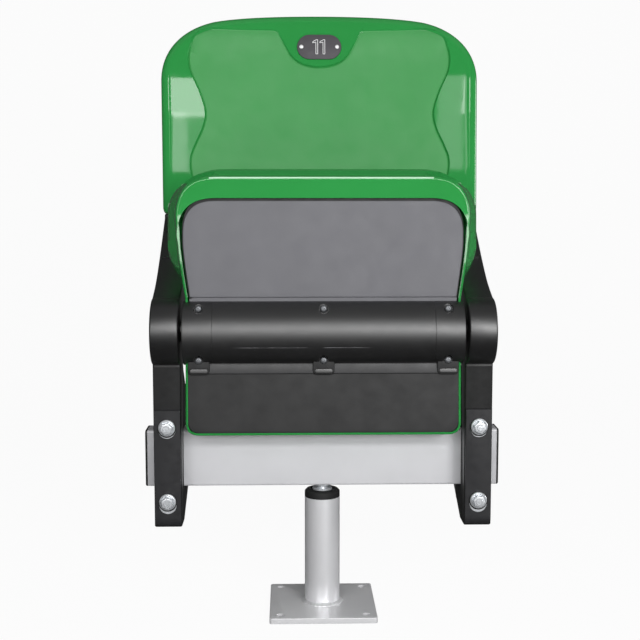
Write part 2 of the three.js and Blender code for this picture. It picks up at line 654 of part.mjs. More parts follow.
// A bar between two points of the (Y, Z) plane
function ribBar([[y0, z0], [y1, z1]], thick) {
  const length = Math.hypot(y1 - y0, z1 - z0);
  const across = [(-(z1 - z0) / length) * (thick / 2), ((y1 - y0) / length) * (thick / 2)];
  return polygon([
    [y0 - across[0], z0 - across[1]],
    [y1 - across[0], z1 - across[1]],
    [y1 + across[0], z1 + across[1]],
    [y0 + across[0], z0 + across[1]],
  ]);
}

// Cells cored out of the inner side of the arm, between its diagonal ribs
function armCells() {
  const inner = BRACKET_INNER_X - OVERRUN;
  const floor = BRACKET_OUTER_X - POCKET_WEB;
  const pocket = slabX(polygon(POCKET_SHARES.map(onArm)), inner, floor);
  return cutBy(pocket, POCKET_RIB_SHARES.map((span) =>
    slabX(ribBar(span.map(onArm), POCKET_RIB), inner - OVERRUN, floor + OVERRUN)));
}

// A cutter that runs square to the backrest, from one depth to another
function backBore(x, rise, radius, from, to) {
  const cutter = rodY(radius, from, to).translate(x, 0, rise);
  return cutter.rotateX(-RECLINE).translate(0, BACK_FOOT_Y, BACK_FOOT_Z);
}

function sideBracket(side) {
  const body = slabX(bracketOutline(), BRACKET_INNER_X, BRACKET_OUTER_X);
  const tongue = slabX(tongueOutline(), BRACKET_INNER_X, BRACKET_INNER_X + TONGUE_WIDTH);
  const recess = BRACKET_OUTER_X - HUB_CAP_THICK - SHAFT_BOLT_HEAD_HEIGHT - CLEARANCE;
  const cutters = [
    armCells(),
    rodX(HINGE_SHAFT_RADIUS + CLEARANCE, BRACKET_INNER_X - OVERRUN, recess + OVERRUN, ROUND_SEGMENTS)
      .translate(0, AXIS_Y, AXIS_Z),
    rodX(HUB_CAP_RADIUS + CLEARANCE, recess, BRACKET_OUTER_X + OVERRUN, ROUND_SEGMENTS)
      .translate(0, AXIS_Y, AXIS_Z),
    ...BOLT_LEVELS.map((z) => rodY(BOLT_RADIUS + CLEARANCE, POST_FRONT_Y - OVERRUN, POST_REAR_Y + OVERRUN)
      .translate(BRACKET_MIDDLE_X, 0, z)),
    ...BACK_SCREW_HEIGHTS.map((rise) => backBore(TONGUE_MIDDLE_X, rise,
      SCREW_SHANK_RADIUS + CLEARANCE, TONGUE_FRONT - OVERRUN, TONGUE_FRONT + TONGUE_DEPTH + OVERRUN)),
  ];
  const bracket = cutBy(joined([body, tongue]), cutters);
  return side > 0 ? bracket : mirrored(bracket);
}

// A mirror image across the middle plane, with its faces turned back out
function mirrored(geometry) {
  const copy = geometry.clone().applyMatrix4(turned.makeScale(-1, 1, 1));
  const index = copy.index.array;
  for (let corner = 0; corner < index.length; corner += 3) {
    const first = index[corner];
    index[corner] = index[corner + 1];
    index[corner + 1] = first;
  }
  copy.computeVertexNormals();
  return copy;
}

// Block behind the beam that the through bolts pull against it
function clampBlock(side) {
  const front = BEAM_REAR_Y + CLEARANCE;
  const drop = SHOULDER_SLOPE * (front - BEAM_REAR_Y) / (POST_REAR_Y - BEAM_REAR_Y);
  const outline = polygon([
    [front, footLevel(front)],
    [POST_REAR_Y, FOOT_REAR_Z],
    [POST_REAR_Y, SHOULDER_Z],
    [front, SHOULDER_Z + SHOULDER_SLOPE - drop],
  ]);
  const block = slabX(outline, BRACKET_INNER_X, BRACKET_OUTER_X);
  const bores = BOLT_LEVELS.map((z) => rodY(BOLT_RADIUS + CLEARANCE, front - OVERRUN, POST_REAR_Y + OVERRUN)
    .translate(BRACKET_MIDDLE_X, 0, z));
  const bored = cutBy(block, bores);
  return side > 0 ? bored : mirrored(bored);
}

// Strap over the front of the bracket; its foot is bent back under
function clampStrap(side) {
  const bend = STRAP_THICK;
  const profile = new THREE.Shape();
  profile.moveTo(POST_FRONT_Y, STRAP_TOP_Z);
  profile.lineTo(STRAP_FRONT_Y + STRAP_CORNER / 2, STRAP_TOP_Z);
  profile.lineTo(STRAP_FRONT_Y, STRAP_TOP_Z - STRAP_CORNER / 2);
  profile.lineTo(STRAP_FRONT_Y, STRAP_BOTTOM_Z + STRAP_LIP);
  profile.quadraticCurveTo(STRAP_FRONT_Y, STRAP_BOTTOM_Z, STRAP_FRONT_Y + bend - CLEARANCE, STRAP_BOTTOM_Z);
  profile.lineTo(POST_FRONT_Y, STRAP_BOTTOM_Z);
  profile.lineTo(POST_FRONT_Y, STRAP_TOP_Z);
  const half = STRAP_WIDTH / 2;
  const strap = slabX(profile, BRACKET_MIDDLE_X - half, BRACKET_MIDDLE_X + half);
  const bores = BOLT_LEVELS.map((z) =>
    rodY(BOLT_RADIUS + CLEARANCE, STRAP_FRONT_Y - OVERRUN, POST_FRONT_Y + OVERRUN)
      .translate(BRACKET_MIDDLE_X, 0, z));
  const bored = cutBy(strap, bores);
  return side > 0 ? bored : mirrored(bored);
}

// Round-headed bolt pushed through from behind; its point shows in the nut
function clampBolt() {
  const tip = STRAP_FRONT_Y - NUT_HEIGHT - BOLT_POINT;
  const chamfer = BOLT_RADIUS / 5;
  return turnedY([
    [0, tip],
    [BOLT_RADIUS - chamfer, tip],
    [BOLT_RADIUS, tip + chamfer],
    [BOLT_RADIUS, POST_REAR_Y],
    [BOLT_HEAD_RADIUS, POST_REAR_Y],
    [BOLT_HEAD_RADIUS * 0.9, POST_REAR_Y + BOLT_HEAD_HEIGHT * 0.5],
    [BOLT_HEAD_RADIUS * 0.5, POST_REAR_Y + BOLT_HEAD_HEIGHT * 0.92],
    [0, POST_REAR_Y + BOLT_HEAD_HEIGHT],
  ], SMALL_SEGMENTS);
}

// Flanged hexagon nut on the front of the strap
function clampNut() {
  const bore = BOLT_RADIUS + CLEARANCE;
  const flange = turnedY([
    [bore, STRAP_FRONT_Y - NUT_FLANGE_THICK * 1.6],
    [NUT_FLATS / 2, STRAP_FRONT_Y - NUT_FLANGE_THICK * 1.6],
    [NUT_FLANGE_RADIUS, STRAP_FRONT_Y - NUT_FLANGE_THICK / 2],
    [NUT_FLANGE_RADIUS, STRAP_FRONT_Y],
    [bore, STRAP_FRONT_Y],
  ], SMALL_SEGMENTS);
  const hex = slabY(hexagon(NUT_FLATS), STRAP_FRONT_Y - NUT_HEIGHT, STRAP_FRONT_Y - NUT_FLANGE_THICK / 2);
  const thread = rodY(bore, STRAP_FRONT_Y - NUT_HEIGHT - OVERRUN, STRAP_FRONT_Y + OVERRUN);
  return cutBy(joined([flange, hex]), [thread]);
}

// Moulded shells. A shell is an outer and an inner skin, each a run of closed
// rings from the free edge to the middle; a lip joins them at the free edge.

function skinOf(rings, hub) {
  const count = rings[0].length;
  const vertices = rings.flat().concat([hub]);
  const last = vertices.length - 1;
  const faces = [];
  for (let ring = 0; ring < rings.length - 1; ring += 1) {
    for (let step = 0; step < count; step += 1) {
      const next = (step + 1) % count;
      const a = ring * count + step;
      const b = ring * count + next;
      faces.push([a, b, b + count], [a, b + count, a + count]);
    }
  }
  const lastRing = (rings.length - 1) * count;
  for (let step = 0; step < count; step += 1) {
    faces.push([lastRing + step, lastRing + ((step + 1) % count), last]);
  }
  return { vertices, faces, count };
}

function enclosedVolume(vertices, faces) {
  const normal = new THREE.Vector3();
  return faces.reduce((sum, [a, b, c]) =>
    sum + normal.crossVectors(vertices[a], vertices[b]).dot(vertices[c]) / 6, 0);
}

function shellBetween(outer, inner) {
  const shift = outer.vertices.length;
  const vertices = outer.vertices.concat(inner.vertices);
  const faces = [...outer.faces];
  for (const [a, b, c] of inner.faces) faces.push([a + shift, c + shift, b + shift]);
  for (let step = 0; step < outer.count; step += 1) {
    const next = (step + 1) % outer.count;
    faces.push([step, step + shift, next + shift], [step, next + shift, next]);
  }
  if (enclosedVolume(vertices, faces) < 0) {
    for (const face of faces) face.reverse();
  }
  const geometry = new THREE.BufferGeometry();
  geometry.setFromPoints(vertices);
  geometry.setIndex(faces.flat());
  geometry.computeVertexNormals();
  return geometry;
}

// Points along an outline, closer together where it bends
function guidePoints(outline, count) {
  const dense = outline.getSpacedPoints(8 * count);
  const reach = [0];
  for (let place = 1; place < dense.length; place += 1) {
    const here = dense[place].clone().sub(dense[place - 1]);
    const next = dense[(place + 1) % (dense.length - 1)].clone().sub(dense[place]);
    const bend = Math.abs(Math.atan2(here.cross(next), here.dot(next)));
    reach.push(reach.at(-1) + here.length() + (bend * BEND_WEIGHT));
  }
  const step = reach.at(-1) / count;
  return Array.from({ length: count }, (_, place) =>
    dense[reach.findIndex((value) => value >= place * step - 1e-6)].clone());
}

// Points where rays from the middle through each guide point cross an outline
function alongRays(outline, guides, middle) {
  const edge = outline.getPoints(10);
  return guides.map((guide) => {
    const ray = guide.clone().sub(middle);
    let reach = 0;
    for (let place = 0; place < edge.length; place += 1) {
      const start = edge[place].clone().sub(middle);
      const span = edge[(place + 1) % edge.length].clone().sub(middle).sub(start);
      const scale = ray.cross(span);
      if (Math.abs(scale) < 1e-9) continue;
      const along = start.cross(ray) / scale;
      const out = start.cross(span) / scale;
      if (along >= 0 && along <= 1 && out > reach) reach = out;
    }
    return middle.clone().addScaledVector(ray, reach);
  });
}

// Points moved inwards, square to the closed line that they form
function insetPoints(line, distance) {
  return line.map((point, place) => {
    const before = line[(place + line.length - 1) % line.length];
    const after = line[(place + 1) % line.length];
    const tangent = after.clone().sub(before).normalize();
    return new THREE.Vector2(point.x - tangent.y * distance, point.y + tangent.x * distance);
  });
}

const blendPoints = (from, to, share) => from.map((point, place) => point.clone().lerp(to[place], share));

// Backrest

// Half outlines are mirrored so that both sides are the same
function mirroredOutline(half) {
  const shape = new THREE.Shape();
  const right = half.getPoints(10);
  const left = right.slice(1, -1).reverse().map((point) => new THREE.Vector2(-point.x, point.y));
  shape.setFromPoints([...right, ...left]);
  shape.closePath();
  return shape;
}

function backOutline() {
  const half = new THREE.Path();
  half.moveTo(0, 0);
  half.lineTo(BACK_HALF_FOOT - BACK_FOOT_CORNER, 0);
  half.quadraticCurveTo(BACK_HALF_FOOT, 0, BACK_HALF_FOOT, BACK_FOOT_CORNER);
  const cove = BACK_WING_FOOT_Z * 0.2;
  half.lineTo(BACK_HALF_FOOT, BACK_WING_FOOT_Z - cove);
  half.quadraticCurveTo(BACK_HALF_FOOT, BACK_WING_FOOT_Z, BACK_HALF_FOOT + cove, BACK_WING_FOOT_Z);
  half.quadraticCurveTo(BACK_HALF_WING, BACK_WING_FOOT_Z, BACK_HALF_WING, BACK_WING_Z);
  half.lineTo(BACK_HALF_TOP, BACK_LENGTH - BACK_CORNER);
  half.bezierCurveTo(
    BACK_HALF_TOP, BACK_LENGTH - BACK_CORNER * 0.61,
    BACK_HALF_TOP - BACK_CORNER_WIDTH * 0.32, BACK_LENGTH - BACK_CORNER * 0.25,
    BACK_HALF_TOP - BACK_CORNER_WIDTH, BACK_LENGTH - BACK_CROWN,
  );
  half.quadraticCurveTo(BACK_HALF_TOP * 0.46, BACK_LENGTH, 0, BACK_LENGTH);
  return mirroredOutline(half);
}

// Matt centre panel, waisted at mid height, with a dip round the number plate
function backPanelOutline() {
  const half = new THREE.Path();
  half.moveTo(0, PANEL_FOOT_Z);
  const side = PANEL_SIDE_SHARES.map(([across, up]) => [across * BACK_HALF_TOP, up * BACK_LENGTH]);
  const [topX] = side[0];
  half.lineTo(side.at(-1)[0] - PANEL_FOOT_Z, PANEL_FOOT_Z);
  half.splineThru(points(side.reverse()));
  half.quadraticCurveTo(topX - PANEL_BEND, PANEL_TOP_Z, topX - PANEL_SHOULDER, PANEL_TOP_Z);
  half.lineTo(PLATE_NOTCH_MOUTH, PANEL_TOP_Z);
  half.bezierCurveTo(
    PLATE_NOTCH_SHOULDER, PANEL_TOP_Z,
    PLATE_NOTCH_FLOOR, PANEL_TOP_Z - PLATE_NOTCH_DROP,
    0, PANEL_TOP_Z - PLATE_NOTCH_DROP,
  );
  return mirroredOutline(half);
}

// Depth of the sitter's side: wings come forward, the lumbar bulges a little
function backFace(x, z) {
  const wing = BACK_WING_FORWARD * Math.abs(x / BACK_HALF_TOP) ** 2.4;
  const lumbar = BACK_LUMBAR * Math.exp(-(((z - BACK_LENGTH * 0.25) / (BACK_LENGTH * 0.3)) ** 2));
  return -wing - lumbar;
}

const backRing = (line, depth) => line.map((point) =>
  new THREE.Vector3(point.x, backFace(point.x, point.y) + depth, point.y));

// Rings shared by both skins of the panel, from its bevel to near its middle
function panelRings(top, edge, middle, ringAt) {
  const heart = edge.map(() => middle.clone());
  return [
    ringAt(top, 0),
    ringAt(edge, 1),
    ...PANEL_RING_SHARES.map((share) => ringAt(blendPoints(edge, heart, share), 1)),
  ];
}

function backSkin() {
  const middle = new THREE.Vector2(0, BACK_MIDDLE_Z);
  const panelEdge = guidePoints(backPanelOutline(), BACK_POINTS);
  const edge = alongRays(backOutline(), panelEdge, middle);
  const panelTop = insetPoints(panelEdge, -BACK_PANEL_BEVEL);
  const rollEnd = insetPoints(edge, BACK_ROLL);
  const outside = [
    backRing(edge, BACK_LIP),
    ...ROLL_SHARES.map(([across, deep]) =>
      backRing(insetPoints(edge, across * BACK_ROLL), deep * BACK_ROLL_DEPTH)),
    backRing(blendPoints(rollEnd, panelTop, 0.5), 0),
    ...panelRings(panelTop, panelEdge, middle, (line, sunk) => backRing(line, sunk * BACK_PANEL_STEP)),
  ];
  const inside = [
    backRing(insetPoints(edge, BACK_WALL), BACK_LIP),
    ...INNER_WALL_SHARES.map(([across, deep]) =>
      backRing(insetPoints(edge, across * BACK_WALL), deep * BACK_WALL)),
    ...panelRings(panelTop, panelEdge, middle,
      (line, sunk) => backRing(line, BACK_WALL + sunk * BACK_PANEL_STEP)),
  ];
  const hub = backRing([middle], BACK_PANEL_STEP)[0];
  const innerHub = backRing([middle], BACK_WALL + BACK_PANEL_STEP)[0];
  return shellBetween(skinOf(outside, hub), skinOf(inside, innerHub));
}

// The solid behind the sitter's face, used to trim ribs and bosses to it
function backInside() {
  const depth = 2 * BACK_LIP;
  const block = new THREE.BoxGeometry(2 * BACK_HALF_TOP, depth, BACK_LENGTH, 16, 1, 16);
  block.translate(0, depth / 2, BACK_LENGTH / 2);
  const place = block.attributes.position;
  for (let corner = 0; corner < place.count; corner += 1) {
    if (place.getY(corner) > depth / 2) continue;
    const face = backFace(place.getX(corner), place.getZ(corner));
    place.setY(corner, face + (BACK_PANEL_STEP + BACK_WALL) / 2);
  }
  return block;
}

function backRibs() {
  const thick = BACK_RIB_THICK / 2;
  const top = BACK_LENGTH - BACK_RIB_TOP_MARGIN;
  const half = BACK_HALF_FOOT - BACK_RIB_SIDE_MARGIN;
  const upright = BACK_RIB_X_SHARES.map((share) => share * BACK_HALF_TOP).map((x) =>
    box(x - thick, x + thick, -BACK_LIP, BACK_RIB_DEPTH, BACK_WALL, top));
  const level = BACK_RIB_Z_SHARES.map((share) => share * BACK_LENGTH).map((z) =>
    box(-half, half, -BACK_LIP, BACK_RIB_DEPTH, z - thick, z + thick));
  return [...upright, ...level];
}

function backrestShell() {
  const bosses = [];
  const pilots = [];
  for (const [, side] of SIDES) {
    for (const rise of BACK_SCREW_HEIGHTS) {
      const x = side * TONGUE_MIDDLE_X;
      bosses.push(rodY(BACK_BOSS_RADIUS, -BACK_LIP, TONGUE_FRONT - CLEARANCE).translate(x, 0, rise));
      pilots.push(rodY(SCREW_SHANK_RADIUS + CLEARANCE, BACK_PILOT_Y, TONGUE_FRONT + OVERRUN)
        .translate(x, 0, rise));
    }
  }
  const slots = SIDES.map(([, side]) => {
    const half = TONGUE_WIDTH / 2 + CLEARANCE;
    const middle = side * TONGUE_MIDDLE_X;
    return box(middle - half, middle + half, TONGUE_FRONT - CLEARANCE, BACK_LIP + OVERRUN, 0, TONGUE_TOP);
  });
  const stiffening = kept(joined([...backRibs(), ...bosses]), backInside());
  return cutBy(joined([backSkin(), stiffening]), [...slots, ...pilots, ...tagPilots()]);
}

// Screw with a domed head, along +Y, its head seated at y = 0
function domedScrew() {
  return turnedY([
    [0, -SCREW_HEAD_HEIGHT],
    [SCREW_HEAD_RADIUS * 0.6, -SCREW_HEAD_HEIGHT * 0.9],
    [SCREW_HEAD_RADIUS, -SCREW_HEAD_HEIGHT * 0.35],
    [SCREW_HEAD_RADIUS, 0],
    [SCREW_SHANK_RADIUS, 0],
    [SCREW_SHANK_RADIUS, SCREW_LENGTH - SCREW_SHANK_RADIUS],
    [0, SCREW_LENGTH],
  ], SMALL_SEGMENTS);
}

const backScrew = () => domedScrew().rotateZ(Math.PI);

// Number plate on the raised dip, held by two rivets

const TAG_FACE_Y = backFace(0, TAG_RISE);

function tagPilots() {
  return [-TAG_RIVET_X, TAG_RIVET_X].map((x) =>
    rodY(TAG_RIVET_BORE + CLEARANCE, TAG_FACE_Y - OVERRUN, TAG_FACE_Y + BACK_WALL + OVERRUN)
      .translate(x, 0, TAG_RISE));
}

function numberPlate() {
  const outline = roundedRectangle(TAG_WIDTH, TAG_HEIGHT, TAG_HEIGHT / 2);
  for (const x of [-TAG_RIVET_X, TAG_RIVET_X]) {
    outline.holes.push(circleHole(x, 0, TAG_RIVET_BORE + CLEARANCE));
  }
  const back = TAG_FACE_Y - TAG_STANDOFF;
  return slabY(outline, back - TAG_THICK, back).translate(0, 0, TAG_RISE);
}

function plateRivet() {
  const seat = TAG_FACE_Y - TAG_STANDOFF - TAG_THICK;
  return turnedY([
    [0, seat - RIVET_HEAD_HEIGHT],
    [RIVET_HEAD_RADIUS * 0.7, seat - RIVET_HEAD_HEIGHT * 0.75],
    [RIVET_HEAD_RADIUS, seat],
    [TAG_RIVET_BORE, seat],
    [TAG_RIVET_BORE, seat + TAG_THICK + RIVET_LENGTH],
    [0, seat + TAG_THICK + RIVET_LENGTH],
  ], SMALL_SEGMENTS).translate(0, 0, TAG_RISE);
}

// Seat shell

function seatOutline() {
  const half = new THREE.Path();
  half.moveTo(0, SEAT_REAR_Z);
  half.lineTo(SEAT_HALF_REAR - SEAT_REAR_CORNER, SEAT_REAR_Z);
  half.quadraticCurveTo(SEAT_HALF_REAR, SEAT_REAR_Z, SEAT_HALF_REAR, SEAT_REAR_Z + SEAT_REAR_CORNER);
  half.lineTo(SEAT_HALF_REAR, SEAT_WAIST_Z - SEAT_REAR_CORNER);
  const cove = SEAT_REAR_CORNER / 2;
  half.quadraticCurveTo(SEAT_HALF_REAR, SEAT_WAIST_Z, SEAT_HALF_REAR + cove, SEAT_WAIST_Z + cove);
  half.quadraticCurveTo(SEAT_HALF_FRONT, SEAT_HIP_Z - cove, SEAT_HALF_FRONT, SEAT_HIP_Z + cove);
  half.lineTo(SEAT_HALF_FRONT, SEAT_FRONT_Z - SEAT_CORNER_DEPTH);
  half.bezierCurveTo(
    SEAT_HALF_FRONT, SEAT_FRONT_Z - SEAT_CORNER_DEPTH * 0.4,
    SEAT_HALF_FRONT - SEAT_CORNER_WIDTH * 0.5, SEAT_FRONT_Z,
    SEAT_HALF_FRONT - SEAT_CORNER_WIDTH, SEAT_FRONT_Z,
  );
  half.lineTo(0, SEAT_FRONT_Z);
  return mirroredOutline(half);
}

function flangeOutline() {
  return underEdge(0, SEAT_HALF_REAR, FLANGE_HALF_HIP, FLANGE_HALF_FRONT, FLANGE_FRONT_Z, FLANGE_CORNER);
}

function openingOutline() {
  return underEdge(OPENING_LIP, SEAT_HALF_REAR - OPENING_LIP, OPENING_HALF_HIP, OPENING_HALF_FRONT,
    OPENING_FRONT_Z, OPENING_CORNER);
}

// Outlines on the underside share the rear corners and the slow widening
function underEdge(lip, halfRear, halfHip, halfFront, front, corner) {
  const half = new THREE.Path();
  const rear = SEAT_REAR_Z + lip;
  half.moveTo(0, rear);
  half.lineTo(halfRear - SEAT_REAR_CORNER, rear);
  half.quadraticCurveTo(halfRear, rear, halfRear, rear + SEAT_REAR_CORNER);
  half.lineTo(halfRear, HOUSING_RADIUS);
  half.quadraticCurveTo(halfHip, SEAT_HIP_Z, halfHip, (SEAT_HIP_Z + front - corner) / 2);
  half.lineTo(halfFront, front - corner);
  half.quadraticCurveTo(halfFront, front, halfFront - corner, front);
  half.lineTo(0, front);
  return mirroredOutline(half);
}

// Height of the sitting surface over the hinge axis
function sittingFace(x, z) {
  const across = Math.min(1, Math.abs(x) / SEAT_HALF_REAR);
  const dish = DISH_DEPTH * Math.exp(-(((z - DISH_CENTRE_Z) / DISH_SPREAD) ** 2));
  return RIM_Y - (CROSS_CAMBER + dish) * (1 - across ** 3);
}

function seatSkin() {
  const middle = new THREE.Vector2(0, SEAT_MIDDLE_Z);
  const rim = guidePoints(seatOutline(), SEAT_POINTS);
  const flange = alongRays(flangeOutline(), rim, middle);
  const opening = alongRays(openingOutline(), rim, middle);
  const bend = SHELL_WALL / 2;
  const flat = (line, y) => line.map((point) => new THREE.Vector3(point.x, y, point.y));
  const dished = (line, drop) => line.map((point) =>
    new THREE.Vector3(point.x, sittingFace(point.x, point.y) - drop, point.y));
  const shelf = insetPoints(rim, 3 * SHELL_WALL);
  const inwards = rim.map(() => middle.clone());
  const panelTop = blendPoints(shelf, inwards, SEAT_PANEL_SHARES[0]);
  const panelEdge = blendPoints(shelf, inwards, SEAT_PANEL_SHARES[1]);
  const outside = [
    flat(opening, FLANGE_Y),
    flat(insetPoints(flange, bend), FLANGE_Y),
    flat(flange, FLANGE_Y + bend),
    flat(rim, RIM_Y - 2 * bend),
    flat(insetPoints(rim, bend / 2), RIM_Y - bend / 2),
    flat(insetPoints(rim, 2 * bend), RIM_Y),
    dished(shelf, 0),
    ...panelRings(panelTop, panelEdge, middle, (line, sunk) => dished(line, sunk * SEAT_PANEL_STEP)),
  ];
  const inside = [
    flat(opening, FLANGE_Y + SHELL_WALL),
    flat(insetPoints(flange, SHELL_WALL), FLANGE_Y + SHELL_WALL),
    flat(insetPoints(rim, SHELL_WALL), RIM_Y - 2 * SHELL_WALL),
    dished(shelf, SHELL_WALL),
    ...panelRings(panelTop, panelEdge, middle,
      (line, sunk) => dished(line, SHELL_WALL + sunk * SEAT_PANEL_STEP)),
  ];
  const [hub] = dished([middle], SEAT_PANEL_STEP);
  const [innerHub] = dished([middle], SHELL_WALL + SEAT_PANEL_STEP);
  return shellBetween(skinOf(outside, hub), skinOf(inside, innerHub));
}

function seatShell() {
  const pilotEnd = HOUSING_SCREW_SEAT_Y + SCREW_LENGTH + OVERRUN;
  const pillars = HOUSING_SCREWS.map(([x, z]) =>
    rodY(BOSS_RADIUS, HOUSING_BACK_Y + CLEARANCE, sittingFace(x, z) - SHELL_WALL).translate(x, 0, z));
  const pilots = HOUSING_SCREWS.map(([x, z]) =>
    rodY(SCREW_SHANK_RADIUS + CLEARANCE, HOUSING_BACK_Y - OVERRUN, pilotEnd).translate(x, 0, z));
  const span = HOUSING_HALF + OVERRUN;
  const section = housingSection(HOUSING_RADIUS + CLEARANCE, HOUSING_BACK_Y + CLEARANCE);
  const housingSpace = slabX(section, -span, span, { curveSegments: 12 });
  const bushBores = rodX(BUSH_RADIUS + CLEARANCE, -span, span, ROUND_SEGMENTS);
  return mainBody(cutBy(joined([seatSkin(), ...pillars]), [housingSpace, bushBores, ...pilots]));
}

// Underside covers

function frontCover() {
  const side = (halfHousing, halfHip, front, corner) => {
    const half = new THREE.Path();
    const start = HOUSING_RADIUS + CLEARANCE;
    half.moveTo(0, start);
    half.lineTo(halfHousing, start);
    half.quadraticCurveTo(halfHip, SEAT_HIP_Z, halfHip, (SEAT_HIP_Z + front - corner) / 2);
    half.lineTo(halfHip, front - corner);
    half.quadraticCurveTo(halfHip, front, halfHip - corner, front);
    half.lineTo(0, front);
    return mirroredOutline(half);
  };
  const trayHip = OPENING_HALF_HIP - SHELL_WALL / 2;
  const rearCorner = SEAT_HALF_REAR - COVER_REAR_INSET;
  const trayOutline = side(rearCorner, trayHip, OPENING_FRONT_Z + COVER_TRAY_MARGIN, OPENING_CORNER);
  const tray = slabY(trayOutline, COVER_FACE_Y, COVER_FACE_Y + COVER_THICK);
  const plateauHip = OPENING_HALF_HIP - COVER_SIDE_GAP / 2;
  const plateauOutline = side(rearCorner, plateauHip, OPENING_FRONT_Z - COVER_GAP, COVER_CORNER);
  const plateau = slabY(plateauOutline, COVER_FACE_Y - COVER_PLATEAU, COVER_FACE_Y + COVER_THICK / 2);
  return joined([tray, plateau]);
}

function rearCover() {
  const gap = SHELL_WALL + 3 * CLEARANCE;
  const halfRear = SEAT_HALF_REAR - gap;
  const rear = SEAT_REAR_Z + gap;
  const start = -HOUSING_RADIUS - CLEARANCE;
  const half = new THREE.Path();
  half.moveTo(0, rear);
  half.lineTo(halfRear - SEAT_REAR_CORNER, rear);
  half.quadraticCurveTo(halfRear, rear, halfRear, rear + SEAT_REAR_CORNER);
  half.lineTo(halfRear, start);
  half.lineTo(0, start);
  const face = FLANGE_Y + CLEARANCE;
  const plate = slabY(mirroredOutline(half), face, face + COVER_THICK);
  const bandHalf = halfRear - COVER_BAND;
  const band = box(-bandHalf, bandHalf, face, face + 2 * COVER_THICK, start - COVER_BAND, start);
  return joined([plate, band]);
}

// Hinge housing: a half tube with closed ends, screw wells and three lugs

function housingSection(radius, back = HOUSING_BACK_Y) {
  const rise = Math.acos(-back / radius);
  const shape = new THREE.Shape();
  shape.absarc(0, 0, radius, Math.PI - rise, Math.PI + rise, false);
  shape.closePath();
  return shape;
}

function hingeHousing() {
  const outer = slabX(housingSection(HOUSING_RADIUS), -HOUSING_HALF, HOUSING_HALF, { curveSegments: 12 });
  const inner = HOUSING_HALF - HOUSING_END;
  const hollow = slabX(housingSection(HOUSING_RADIUS - HOUSING_WALL), -inner, inner, { curveSegments: 8 })
    .translate(0, OVERRUN / 2, 0);
  const hollowMouth = HOUSING_RADIUS - HOUSING_WALL - OVERRUN;
  const mouth = box(-inner, inner, HOUSING_BACK_Y - OVERRUN, HOUSING_BACK_Y + OVERRUN,
    -hollowMouth, hollowMouth);
  const trough = cutBy(outer, [hollow, mouth]);
  const lobes = SIDES.map(([, side]) => {
    const ends = [side * (HOUSING_HALF - HOUSING_END + CLEARANCE), side * HOUSING_HALF];
    return rodX(HOUSING_LOBE, Math.min(...ends), Math.max(...ends), ROUND_SEGMENTS);
  });
  const wells = HOUSING_SCREWS.map(([x, z]) => kept(
    rodY(BOSS_RADIUS, -HOUSING_RADIUS, HOUSING_BACK_Y).translate(x, 0, z),
    slabX(housingSection(HOUSING_RADIUS - OVERRUN / 2), -HOUSING_HALF, HOUSING_HALF, { curveSegments: 12 }),
  ));
  const lugOutline = roundedRectangle(LUG_WIDTH, 2 * LUG_DROP, LUG_THICK);
  const lugs = [-HOUSING_SCREW_X, 0, HOUSING_SCREW_X].map((x) =>
    slabY(lugOutline, FLANGE_Y - LUG_THICK, FLANGE_Y, { curveSegments: 3 })
      .translate(x, 0, -HOUSING_RADIUS));
  const recesses = HOUSING_SCREWS.map(([x, z]) =>
    rodY(SCREW_RECESS_RADIUS, -2 * HOUSING_RADIUS, HOUSING_SCREW_SEAT_Y).translate(x, 0, z));
  const shanks = HOUSING_SCREWS.map(([x, z]) =>
    rodY(SCREW_SHANK_RADIUS + CLEARANCE, HOUSING_SCREW_SEAT_Y - OVERRUN, HOUSING_BACK_Y + OVERRUN)
      .translate(x, 0, z));
  const span = HOUSING_HALF + OVERRUN;
  const bores = rodX(BUSH_RADIUS + CLEARANCE, -span, span, ROUND_SEGMENTS);
  return cutBy(joined([trough, ...lobes, ...wells, ...lugs]), [...recesses, ...shanks, bores]);
}

// Hinge: bushes turn on a fixed shaft, which a bolt holds in each hub

function hingeBush(side) {
  const bore = HINGE_SHAFT_RADIUS + CLEARANCE;
  const face = HOUSING_HALF + CLEARANCE;
  const outside = BRACKET_INNER_X - 2 * CLEARANCE;
  const bush = turnedX([
    [bore, face - BUSH_LENGTH],
    [BUSH_RADIUS, face - BUSH_LENGTH],
    [BUSH_RADIUS, face],
    [BUSH_FLANGE_RADIUS, face],
    [BUSH_FLANGE_RADIUS, outside],
    [bore, outside],
  ], RING_SEGMENTS);
  return side > 0 ? bush : bush.rotateZ(Math.PI);
}

function hingeShaft() {
  const end = SHAFT_HALF;
  const solid = rodX(HINGE_SHAFT_RADIUS, -end, end, ROUND_SEGMENTS);
  const depth = SHAFT_BOLT_LENGTH + OVERRUN;
  const taps = SIDES.map(([, side]) => {
    const ends = [side * (end - depth), side * (end + OVERRUN)];
    return rodX(SHAFT_BOLT_RADIUS + CLEARANCE, Math.min(...ends), Math.max(...ends));
  });
  return cutBy(solid, taps);
}

